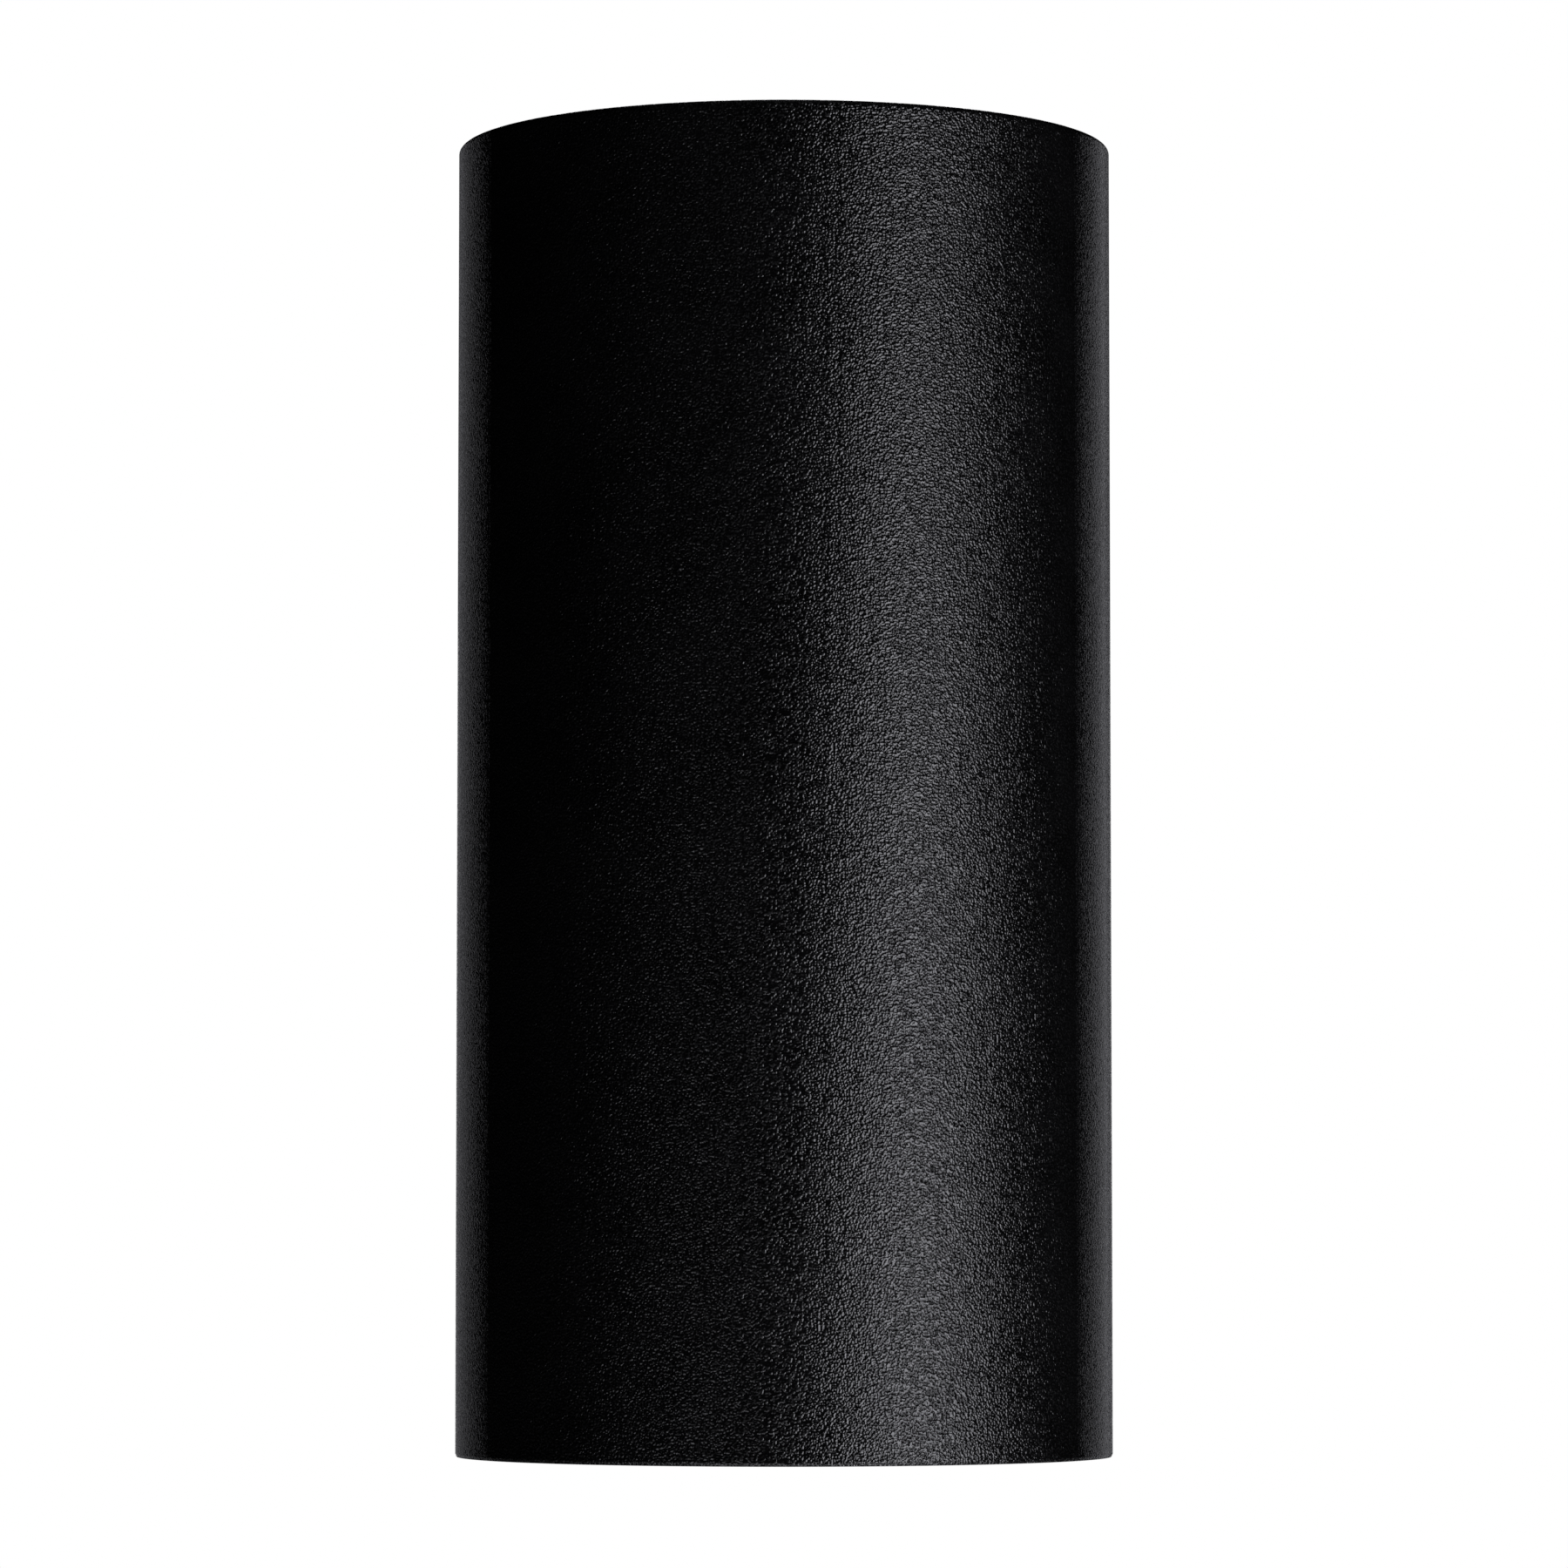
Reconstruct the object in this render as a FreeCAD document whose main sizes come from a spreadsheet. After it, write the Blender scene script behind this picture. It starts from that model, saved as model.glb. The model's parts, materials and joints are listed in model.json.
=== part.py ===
import FreeCAD, Part
import math
import os
import Sketcher

# A wall spotlight: a round can with a closed top hangs in front of the wall and shines down.
# A saddle box behind the can hides the wiring and is screwed to a steel plate on the wall.
# The origin is on the wall, in the middle of the two wall screws. +Y points into the wall,
# +Z up and +X to the right of someone who faces the wall. Lengths are in millimetres.

SIZES = (
    # the lamp housing, a can open at its mouth
    ("tube_diameter", "75", "outside diameter of the can"),
    ("tube_height", "150", "height of the can"),
    ("tube_wall", "2.5", "wall above the lens seat"),
    ("mouth_wall", "2", "wall that is left where the mouth is bored out"),
    ("top_thickness", "3", "closed top of the can"),
    ("top_edge_radius", "0.6", "rounding of the can's top edge"),
    ("mouth_edge_chamfer", "0.3", "bevel of the can's mouth"),
    ("wall_gap", "25", "free space between the wall and the can"),
    ("rib_width", "18", "thick rib cast up the back of the can, inside"),
    ("rib_gap", "3", "lamp to the rib's face"),
    ("rib_rise", "8.3", "rib's lower end above the seat"),
    ("rib_margin", "7", "rib beyond its outermost holes"),
    ("boss_radius", "4.5", "screw bosses under the can's top"),
    ("boss_height", "6", "length of those bosses"),
    ("boss_spread", "24", "bracket screws from the can's axis"),
    ("earth_boss_setback", "18", "earth screw behind the can's axis"),
    ("blind_floor", "1.5", "metal left beyond a blind hole"),
    # gaps that fits and cuts share
    ("thread_gap", "0.05", "screw to tapped hole, on the radius"),
    ("hole_gap", "0.25", "screw to clearance hole, on the radius"),
    ("slide_gap", "0.1", "parts that are pushed into each other, on the radius"),
    ("overrun", "2", "how far a cut runs past the metal"),
    # the front stack: seat, gasket, glass and threaded ring
    ("mouth_recess", "18", "ring's face above the mouth"),
    ("flange_thickness", "3", "grip flange of the ring"),
    ("flange_gap", "0.7", "flange to the mouth's bore"),
    ("flange_face_gap", "0.4", "flange to the seat when the ring is tight"),
    ("sleeve_length", "7", "threaded sleeve of the ring"),
    ("seat_wall", "3", "bore of the can to the thread of the ring and seat, on the radius"),
    ("cone_land", "0.5", "thread to the wide end of the ring's cone, on the radius"),
    ("cone_depth", "5", "thread to the cone's narrow end at the glass, on the radius"),
    ("ring_thread_gap", "0.15", "ring's sleeve to the seat's thread"),
    ("ring_edge_chamfer", "0.4", "bevels of the ring"),
    ("notch_width", "5", "grip notch in the ring's flange"),
    ("notch_depth", "1.6", "how deep the notch goes into the face"),
    ("notch_length", "2.4", "notch from the flange's edge inwards"),
    ("shoulder_width", "4", "how far the seat's shoulder stands inside the thread"),
    ("seat_shoulder", "1.2", "shoulder that the gasket is pressed to"),
    ("glass_thickness", "3", "front glass"),
    ("glass_edge_gap", "0.8", "glass to the seat's thread"),
    ("glass_edge_chamfer", "0.4", "ground edge of the glass"),
    ("glass_gasket_thickness", "1.5", "silicone ring on the glass"),
    # the lamp, with two pins that lock by a short turn
    ("lamp_diameter", "50", "reflector lamp"),
    ("lamp_length", "47", "lamp without its pins"),
    ("lamp_gap", "0.3", "lamp above the seat's shoulder"),
    ("lamp_wall", "1.5", "wall of the lamp's shell"),
    ("lamp_edge_radius", "0.8", "rounding of the lamp's front rim"),
    ("board_ledge", "3.5", "ledge that the light board lies on"),
    ("optic_plate", "3", "front plate of the lens cluster"),
    ("optic_recess", "0.6", "front plate behind the lamp's rim"),
    ("lenslet_height", "8", "cone behind the plate, one for each light chip"),
    ("lenslet_front_radius", "6.4", "cone's wide end, at the plate"),
    ("lenslet_back_radius", "2.6", "cone's narrow end, at the chip"),
    ("lenslet_circle", "14.5", "circle of the outer cones"),
    ("chip_width", "3", "light chip"),
    ("chip_height", "0.7", "light chip above its board"),
    ("chip_gap", "0.3", "cone to chip"),
    ("board_thickness", "1.6", "round light board"),
    ("cap_length", "16", "insulating cap that carries the pins"),
    ("cap_radius", "13", "outside of the cap"),
    ("cap_wall", "2", "wall of the cap"),
    ("cap_end", "2.5", "end of the cap, where the pins stand"),
    ("cap_chamfer", "1.2", "bevel of the cap's end"),
    ("spigot_length", "4", "cap inside the shell"),
    ("driver_width", "15", "driver board across"),
    ("driver_thickness", "1.2", "driver board"),
    ("driver_height", "20", "driver board along the lamp"),
    ("capacitor_radius", "3.2", "round part on the driver board"),
    ("capacitor_height", "9", "round part on the driver board"),
    ("choke_width", "7", "square part on the driver board"),
    ("choke_depth", "5", "square part off the driver board"),
    ("pin_circle", "5", "pins from the lamp's axis"),
    ("pin_length", "7", "pins out of the cap"),
    ("pin_neck_radius", "1.5", "thin part of a pin"),
    ("pin_head_radius", "2.5", "locking head of a pin"),
    ("pin_head_height", "3.6", "locking head of a pin"),
    ("pin_edge_chamfer", "0.4", "bevel of a pin's head"),
    ("twist_angle", "30", "turn that frees the lamp, in degrees"),
    # the lampholder and the strap that carries it
    ("holder_gap", "0.4", "lamp to lampholder"),
    ("holder_radius", "14.5", "ceramic body"),
    ("holder_height", "14", "ceramic body"),
    ("holder_face", "2.5", "slotted face in front of the contacts"),
    ("holder_chamfer", "0.8", "bevel of the ceramic"),
    ("slot_gap", "0.3", "pin to its slot, on the radius"),
    ("contact_gap", "0.3", "pin head to contact"),
    ("contact_thickness", "0.5", "spring contact"),
    ("contact_angle", "20", "arc that a contact spans, in degrees"),
    ("cover_thickness", "3", "ceramic cover behind the contacts"),
    ("holder_screw_spread", "10", "lampholder screws from the axis"),
    ("strap_thickness", "1.5", "bent steel strap"),
    ("strap_width", "18", "bent steel strap"),
    ("strap_half_span", "17", "outer face of a leg from the axis"),
    ("strap_foot_end", "2.8", "foot beyond the middle of its screw"),
    ("strap_bend", "1.2", "inner radius of a bend"),
    ("strap_lead_radius", "2", "hole in the strap for a lead"),
    # screws and nuts
    ("large_screw_radius", "2", "shank of the larger screws"),
    ("large_head_radius", "3.7", "head of the larger screws"),
    ("large_head_height", "2.4", "head of the larger screws"),
    ("small_screw_radius", "1.5", "shank of the smaller screws"),
    ("small_head_radius", "2.75", "head of the smaller screws"),
    ("small_head_height", "2", "head of the smaller screws"),
    ("drive_share", "0.55", "length of a cross recess as a share of the head"),
    ("drive_width", "0.9", "arm of a cross recess"),
    ("drive_depth", "1.3", "cross recess"),
    ("screw_end_chamfer", "0.4", "bevel at a screw's tip and head"),
    ("nut_height", "2.4", "nut of the smaller screws"),
    ("nut_radius", "3.1", "corner of that nut from its axis"),
    ("screw_tail", "0.8", "screw beyond its nut"),
    ("saddle_screw_drop", "14", "upper screw between box and can, below the lead hole"),
    ("saddle_screw_tip_gap", "0.5", "tip of those screws to the end of their holes"),
    ("fixing_screw_length", "7.5", "side screws, under the head"),
    ("hex_socket_radius", "1.45", "corner of the side screws' socket"),
    # the wall side
    ("gasket_thickness", "2", "foam gasket on the wall"),
    ("box_width", "56", "saddle box"),
    ("box_height", "100", "saddle box"),
    ("box_corner_radius", "8", "saddle box"),
    ("box_wall", "2.5", "saddle box"),
    ("saddle_gasket_thickness", "1", "gasket between box and can"),
    ("spot_radius", "5", "flat spots inside the box, under the screw heads"),
    ("spot_height", "1", "flat spots above the middle of the saddle wall"),
    ("plate_thickness", "2", "steel wall plate"),
    ("plate_gap", "0.7", "plate to the inside of the box"),
    ("plate_corner_radius", "4.8", "wall plate"),
    ("wall_slot_spacing", "60", "screws in the wall"),
    ("wall_slot_radius", "2.5", "half the width of a wall slot"),
    ("wall_slot_length", "11", "wall slot, end to end"),
    ("ear_height", "14", "tapped ear at each side of the plate"),
    ("ear_depth", "12", "ear in front of the plate"),
    ("ear_screw_setback", "8", "side screws in front of the plate"),
    ("inlet_drop", "12", "cable inlet below the middle"),
    ("inlet_neck_radius", "7", "hole in the plate for the grommet"),
    ("inlet_flange", "2", "grommet's flange beyond its neck"),
    ("inlet_lip", "1.2", "grommet's flange in front of the plate"),
    ("inlet_nozzle", "5", "grommet in front of the plate"),
    ("cable_radius", "4", "supply cable's hole"),
    ("nozzle_wall", "1.5", "rubber round the cable at the nozzle's end"),
    # the earth screws and the terminal block
    ("plate_earth_side", "15", "plate's earth screw beside the middle"),
    ("plate_earth_drop", "13", "plate's earth screw below the box's end"),
    ("washer_thickness", "0.8", "cup washer"),
    ("washer_radius", "4.6", "cup washer"),
    ("tag_thickness", "0.8", "ring tag of the earth lead"),
    ("tag_radius", "4", "ring tag of the earth lead"),
    ("tag_tongue", "3", "tag between ring and barrel"),
    ("barrel_radius", "1.7", "crimped barrel of the tag"),
    ("barrel_length", "6", "crimped barrel of the tag"),
    ("pole_pitch", "10", "terminal poles"),
    ("terminal_height", "18", "terminal block, along its wires"),
    ("terminal_depth", "10", "terminal block without its towers"),
    ("terminal_rise", "9.5", "terminal block above the middle"),
    ("tower_radius", "3.3", "screw towers of the block"),
    ("tower_height", "4", "screw towers of the block"),
    ("tower_offset", "4.3", "screw towers from the block's middle"),
    ("terminal_edge_radius", "0.8", "rounding of the block"),
    ("clamp_radius", "2.6", "brass clamp"),
    ("clamp_bore_radius", "1.6", "brass clamp"),
    ("clamp_length", "14", "brass clamp"),
    ("clamp_setback", "6.2", "wires in front of the plate"),
    ("clamp_screw_radius", "1.2", "terminal screws"),
    ("clamp_screw_sink", "1", "terminal screws below the tower's rim"),
    ("slot_width", "0.6", "slot of a terminal screw"),
    ("slot_depth", "0.8", "slot of a terminal screw"),
    # the leads between terminal block and lampholder
    ("lead_radius", "1", "insulated lead"),
    ("conductor_radius", "0.6", "bare end of a lead"),
    ("conductor_length", "5", "bare end inside the brass clamp"),
    ("bend_share", "0.45", "share of the shorter run that a bend takes up"),
    ("lead_pitch", "2.3", "leads side by side in the grommet"),
    ("lead_hole_drop", "10", "lead hole below the box's end"),
    ("lead_rise", "9", "lead above the strap before it turns back"),
    ("lead_turn_setback", "5", "where a lead is level, behind its hole"),
    ("lead_turn_share", "0.447", "where leads turn down, as a share of their way from block to hole"),
    ("earth_loop_reach", "9", "earth lead's loop in front of the tag"),
    ("earth_loop_drop", "12", "earth lead's loop below the tag"),
    ("lead_hole_radius", "5", "hole for the lead grommet"),
    ("lead_bore_radius", "3.7", "bore of the lead grommet"),
    ("lead_flange", "1.7", "lead grommet's flanges beyond the hole"),
    ("lead_flange_thickness", "1.5", "lead grommet's flanges"),
)

LENSLET_COUNT = 6
NOTCH_COUNT = 4
POLE_COUNT = 3

document = FreeCAD.newDocument("wall_spotlight")
sheet = document.addObject("Spreadsheet::Sheet", "Sizes")
for row, (alias, number, note) in enumerate(SIZES, start=1):
    sheet.set(f"A{row}", alias)
    sheet.set(f"B{row}", number)
    sheet.setAlias(f"B{row}", alias)
    sheet.set(f"C{row}", note)
document.recompute()

pieces = []


class Size:
    """A number together with the sheet expression that works it out."""

    def __init__(self, value, rule):
        self.value = float(value)
        self.rule = rule

    def __add__(self, other):
        other = as_size(other)
        return Size(self.value + other.value, f"({self.rule} + {other.rule})")

    def __radd__(self, other):
        return as_size(other) + self

    def __sub__(self, other):
        other = as_size(other)
        return Size(self.value - other.value, f"({self.rule} - {other.rule})")

    def __rsub__(self, other):
        return as_size(other) - self

    def __mul__(self, other):
        other = as_size(other)
        return Size(self.value * other.value, f"({self.rule} * {other.rule})")

    def __rmul__(self, other):
        return as_size(other) * self

    def __truediv__(self, other):
        other = as_size(other)
        return Size(self.value / other.value, f"({self.rule} / {other.rule})")

    def __neg__(self):
        return Size(-self.value, f"(0 - {self.rule})")


def as_size(number):
    return number if isinstance(number, Size) else Size(number, str(number))


def sine(angle):
    return Size(math.sin(math.radians(angle.value)), f"sin({angle.rule} * 1 deg)")


def cosine(angle):
    return Size(math.cos(math.radians(angle.value)), f"cos({angle.rule} * 1 deg)")


class Given:
    """The driving sizes, read from the sheet by name."""

    def __getattr__(self, alias):
        return Size(sheet.get(alias), f"Sizes.{alias}")


given = Given()

# radii and places that several pieces share
tube_radius = given.tube_diameter / 2
bore_radius = tube_radius - given.tube_wall
mouth_radius = tube_radius - given.mouth_wall
axis_setback = given.wall_gap + tube_radius
thread_radius = bore_radius - given.seat_wall
aperture_radius = thread_radius - given.cone_depth
seat_aperture_radius = thread_radius - given.shoulder_width
top = given.tube_height / 2
ceiling = top - given.top_thickness
boss_face = ceiling - given.boss_height
mouth = -top

# the front stack from the mouth upwards
ring_face = mouth + given.mouth_recess
flange_top = ring_face + given.flange_thickness
seat_bottom = flange_top + given.flange_face_gap
glass_bottom = flange_top + given.sleeve_length
glass_top = glass_bottom + given.glass_thickness
shoulder_face = glass_top + given.glass_gasket_thickness
seat_top = shoulder_face + given.seat_shoulder
glass_radius = thread_radius - given.glass_edge_gap

# the lamp and the lampholder above it
lamp_radius = given.lamp_diameter / 2
rib_face = lamp_radius + given.rib_gap
lamp_front = seat_top + given.lamp_gap
lamp_back = lamp_front + given.lamp_length
lamp_bore = lamp_radius - given.lamp_wall
optic_front = lamp_front + given.optic_recess
lenslet_back = optic_front + given.optic_plate + given.lenslet_height
board_front = lenslet_back + given.chip_gap + given.chip_height
board_back = board_front + given.board_thickness
cap_joint = lamp_back - given.cap_length
neck_radius = given.cap_radius - given.cap_wall / 2
holder_front = lamp_back + given.holder_gap
holder_back = holder_front + given.holder_height
cover_back = holder_back + given.cover_thickness
strap_back = cover_back + given.strap_thickness
head_sink = given.small_head_height + given.hole_gap
chamber_radius = given.pin_circle + given.pin_head_radius + given.contact_gap + given.contact_thickness

# the wall side, measured from the wall towards the room
plate_back = given.gasket_thickness
plate_front = plate_back + given.plate_thickness
saddle_radius = tube_radius + given.saddle_gasket_thickness
spot_setback = given.wall_gap - given.saddle_gasket_thickness - given.box_wall - given.spot_height
fixing_setback = plate_front + given.ear_screw_setback
inner_half_width = given.box_width / 2 - given.box_wall
plate_half_width = inner_half_width - given.plate_gap
plate_half_height = given.box_height / 2 - given.box_wall - given.plate_gap
clamp_setback = plate_front + given.clamp_setback
terminal_front = plate_front + given.terminal_depth
tower_front = terminal_front + given.tower_height
terminal_entry = given.terminal_rise + given.clamp_length / 2

# heights of what joins box and can, and the length of the screws between them
lead_height = given.box_height / 2 - given.lead_hole_drop
plate_earth_height = given.box_height / 2 - given.plate_earth_drop
rib_low = seat_top + given.rib_rise
saddle_low = rib_low + given.rib_margin
saddle_high = lead_height - given.saddle_screw_drop
saddle_hole_depth = tube_radius - rib_face - given.blind_floor
saddle_screw_length = given.wall_gap - spot_setback + saddle_hole_depth - given.saddle_screw_tip_gap

# turns that point a piece's own Z axis the other way, at the wall, at the room or sideways
DOWN = FreeCAD.Rotation(FreeCAD.Vector(1, 0, 0), 180)
TO_WALL = FreeCAD.Rotation(FreeCAD.Vector(1, 0, 0), -90)
TO_ROOM = FreeCAD.Rotation(FreeCAD.Vector(1, 0, 0), 90)
TO_RIGHT = FreeCAD.Rotation(FreeCAD.Vector(0, 1, 0), 90)


def bind(thing, path, size):
    thing.setExpression(path, as_size(size).rule)


def body(name, x=0, y=0, z=0, turn=None):
    made = document.addObject("PartDesign::Body", name)
    made.Label = name
    made.AllowCompound = True
    if turn:
        made.Placement = FreeCAD.Placement(FreeCAD.Vector(), turn)
    for axis, size in (("x", x), ("y", y), ("z", z)):
        bind(made, f"Placement.Base.{axis}", size)
    pieces.append(made)
    return made


def on_axis(name, turn=None, z=0):
    # a body whose own Z axis is the can's axis
    return body(name, y=-axis_setback, z=z, turn=turn)


def origin_part(owner, role):
    return next(part for part in owner.Origin.OriginFeatures if part.Role == role)


def sketch(owner, name, role="XY_Plane", offset=0):
    made = owner.newObject("Sketcher::SketchObject", f"{owner.Label}_{name}")
    made.AttachmentSupport = [(origin_part(owner, role), "")]
    made.MapMode = "FlatFace"
    bind(made, "AttachmentOffset.Base.z", offset)
    return made


def limit(drawing, kind, size, *where):
    index = drawing.addConstraint(Sketcher.Constraint(kind, *where, as_size(size).value))
    bind(drawing, f"Constraints[{index}]", size)


def pin_point(drawing, edge, point, x, y):
    # holds a point of the sketch at a place that the sheet gives
    for kind, size, line in (("DistanceX", x, -2), ("DistanceY", y, -1)):
        if isinstance(size, Size):
            limit(drawing, kind, size, -1, 1, edge, point)
        else:
            drawing.addConstraint(Sketcher.Constraint("PointOnObject", edge, point, line))


def flat(x, y):
    return FreeCAD.Vector(as_size(x).value, as_size(y).value, 0)


def polygon(drawing, corners):
    first = drawing.GeometryCount
    count = len(corners)
    for start, end in zip(corners, corners[1:] + corners[:1]):
        drawing.addGeometry(Part.LineSegment(flat(*start), flat(*end)), False)
    for number in range(count):
        following = first + (number + 1) % count
        drawing.addConstraint(Sketcher.Constraint("Coincident", first + number, 2, following, 1))
    for number, corner in enumerate(corners):
        pin_point(drawing, first + number, 1, *corner)


def rectangle(drawing, left, right, low, high):
    polygon(drawing, [(left, low), (right, low), (right, high), (left, high)])


def circle(drawing, x, y, radius):
    round_line = Part.Circle(flat(x, y), FreeCAD.Vector(0, 0, 1), radius.value)
    index = drawing.addGeometry(round_line, False)
    pin_point(drawing, index, 3, x, y)
    limit(drawing, "Radius", radius, index)


def upright_slot(drawing, y, radius, length):
    # a slot on the sketch's upright axis, round at both ends
    reach = length / 2 - radius
    up = FreeCAD.Vector(0, 0, 1)
    upper, lower = (Part.Circle(flat(0, place), up, radius.value) for place in (y + reach, y - reach))
    left, right = -radius, radius
    head = drawing.addGeometry(Part.ArcOfCircle(upper, 0, math.pi), False)
    side = drawing.addGeometry(Part.LineSegment(flat(left, y + reach), flat(left, y - reach)), False)
    foot = drawing.addGeometry(Part.ArcOfCircle(lower, math.pi, 2 * math.pi), False)
    other = drawing.addGeometry(Part.LineSegment(flat(right, y - reach), flat(right, y + reach)), False)
    for one, following in ((head, side), (side, foot), (foot, other), (other, head)):
        drawing.addConstraint(Sketcher.Constraint("Tangent", one, 2, following, 1))
    pin_point(drawing, head, 3, 0, y + reach)
    pin_point(drawing, foot, 3, 0, y - reach)
    limit(drawing, "Radius", radius, head)
    drawing.addConstraint(Sketcher.Constraint("Equal", head, foot))


def arched_outline(drawing, half_width, back, centre, radius):
    # a rectangle from the line y = back to an arc round the point (0, centre)
    rise = math.sqrt(radius.value ** 2 - half_width.value ** 2)
    spring = math.atan2(rise, half_width.value)
    round_line = Part.Circle(flat(0, centre), FreeCAD.Vector(0, 0, 1), radius.value)
    right_back, left_back = flat(half_width, back), flat(-half_width, back)
    right_end, left_end = flat(half_width, centre + rise), flat(-half_width, centre + rise)
    arc = drawing.addGeometry(Part.ArcOfCircle(round_line, spring, math.pi - spring), False)
    left = drawing.addGeometry(Part.LineSegment(left_end, left_back), False)
    rear = drawing.addGeometry(Part.LineSegment(left_back, right_back), False)
    right = drawing.addGeometry(Part.LineSegment(right_back, right_end), False)
    for one, following in ((arc, left), (left, rear), (rear, right), (right, arc)):
        drawing.addConstraint(Sketcher.Constraint("Coincident", one, 2, following, 1))
    for upright in (left, right):
        drawing.addConstraint(Sketcher.Constraint("Vertical", upright))
    pin_point(drawing, arc, 3, 0, centre)
    limit(drawing, "Radius", radius, arc)
    pin_point(drawing, rear, 1, -half_width, back)
    pin_point(drawing, rear, 2, half_width, back)


def feature(owner, kind, name, drawing=None):
    made = owner.newObject(f"PartDesign::{kind}", f"{owner.Label}_{name}")
    if drawing:
        made.Profile = drawing
    return made


def pad(owner, name, drawing, length, symmetric=False, backwards=False):
    made = feature(owner, "Pad", name, drawing)
    bind(made, "Length", length)
    made.SideType = "Symmetric" if symmetric else "One side"
    made.Reversed = backwards
    return made


def pocket(owner, name, drawing, depth=None, symmetric=False, backwards=False):
    # a cut against the sketch's normal, through everything when no depth is given
    made = feature(owner, "Pocket", name, drawing)
    made.SideType = "Symmetric" if symmetric else "One side"
    made.Reversed = backwards
    if depth is None:
        made.Type = "ThroughAll"
    else:
        bind(made, "Length", depth)
    return made


def turned(owner, name, corners, angle=None, cut=False):
    # a profile of (radius, height) corners, swept round the body's own Z axis
    drawing = sketch(owner, f"{name}_profile", "XZ_Plane")
    polygon(drawing, corners)
    made = feature(owner, "Groove" if cut else "Revolution", name, drawing)
    made.ReferenceAxis = (drawing, ["V_Axis"])
    if angle is None:
        made.Angle = 360
    else:
        bind(made, "Angle", angle)
    return made


def ring_corners(inner, outer, low, high):
    return [(inner, low), (outer, low), (outer, high), (inner, high)]


def plus_outline(drawing, x, y, arm, reach):
    # the cross of a screw recess: arm is half its width, reach half its length
    steps = (
        (1, 1), (2, 1), (2, -1), (1, -1), (1, -2), (-1, -2),
        (-1, -1), (-2, -1), (-2, 1), (-1, 1), (-1, 2), (1, 2),
    )
    place = {1: arm, -1: -arm, 2: reach, -2: -reach}
    polygon(drawing, [(x + place[across], y + place[along]) for across, along in steps])


def hexagon(drawing, x, y, corner_radius):
    corners = []
    for step in range(6):
        angle = as_size(60 * step)
        corners.append((x + corner_radius * cosine(angle), y + corner_radius * sine(angle)))
    polygon(drawing, corners)


def edges_where(shaped, test):
    document.recompute([shaped])
    return [f"Edge{number}" for number, edge in enumerate(shaped.Shape.Edges, start=1) if test(edge)]


def straight_along(axis):
    # picks the straight edges that run along an axis
    direction = FreeCAD.Vector(*axis)

    def test(edge):
        return edge.Curve.TypeId == "Part::GeomLine" and edge.Curve.Direction.cross(direction).Length < 1e-6

    return test


def rim_at(radius, height):
    # picks the circular edges of that radius round the Z axis, at that height
    def test(edge):
        if edge.Curve.TypeId != "Part::GeomCircle":
            return False
        centre = edge.Curve.Center
        return (
            abs(edge.Curve.Radius - radius.value) < 1e-6
            and abs(centre.z - as_size(height).value) < 1e-6
            and math.hypot(centre.x, centre.y) < 1e-6
        )

    return test


def dress(owner, kind, name, base, radius, edges):
    # a fillet or chamfer on the named edges
    if not edges:
        raise ValueError(f"{owner.Label}: no edge was found for {name}")
    made = feature(owner, kind, name)
    made.Base = (base, edges)
    bind(made, "Radius" if kind == "Fillet" else "Size", radius)
    return made


def fillet(owner, name, base, radius, edges):
    return dress(owner, "Fillet", name, base, radius, edges)


def chamfer(owner, name, base, size, edges):
    return dress(owner, "Chamfer", name, base, size, edges)


def repeat_round(owner, name, originals, count):
    made = feature(owner, "PolarPattern", name)
    made.Originals = originals
    made.Axis = (origin_part(owner, "Z_Axis"), [""])
    made.Angle = 360
    made.Occurrences = count
    owner.Tip = made
    return made


def repeat_along(owner, name, originals, axis, span, count):
    made = feature(owner, "LinearPattern", name)
    made.Originals = originals
    made.Direction = (origin_part(owner, f"{axis}_Axis"), [""])
    made.Mode = "Extent"
    bind(made, "Length", span)
    made.Occurrences = count
    owner.Tip = made
    return made


def mirror(owner, originals, role):
    made = feature(owner, "Mirrored", "pair")
    made.Originals = originals
    made.MirrorPlane = (origin_part(owner, role), [""])
    owner.Tip = made


def at_height(height):
    # picks every circular edge at that height
    def test(edge):
        return edge.Curve.TypeId == "Part::GeomCircle" and abs(edge.Curve.Center.z - as_size(height).value) < 1e-6

    return test


def screw(owner, x, y, shank, length, head, height, seat=0, socket=None):
    # one screw whose head rests on the height seat and faces +Z, with a cross recess or a hexagon
    # socket; length is measured under the head
    drawing = sketch(owner, "shank", offset=seat)
    circle(drawing, x, y, shank)
    stem = pad(owner, "stem", drawing, length, backwards=True)
    tip = chamfer(owner, "tip", stem, given.screw_end_chamfer, edges_where(stem, at_height(seat - length)))
    drawing = sketch(owner, "head_outline", offset=seat)
    circle(drawing, x, y, head)
    cap = pad(owner, "head", drawing, height)
    crown = fillet(owner, "crown", cap, height / 2, edges_where(cap, at_height(seat + height)))
    drawing = sketch(owner, "recess_outline", offset=seat + height)
    if socket:
        hexagon(drawing, x, y, socket)
    else:
        plus_outline(drawing, x, y, given.drive_width / 2, head * given.drive_share)
    recess = pocket(owner, "recess", drawing, given.drive_depth)
    return [stem, tip, cap, crown, recess]


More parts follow.
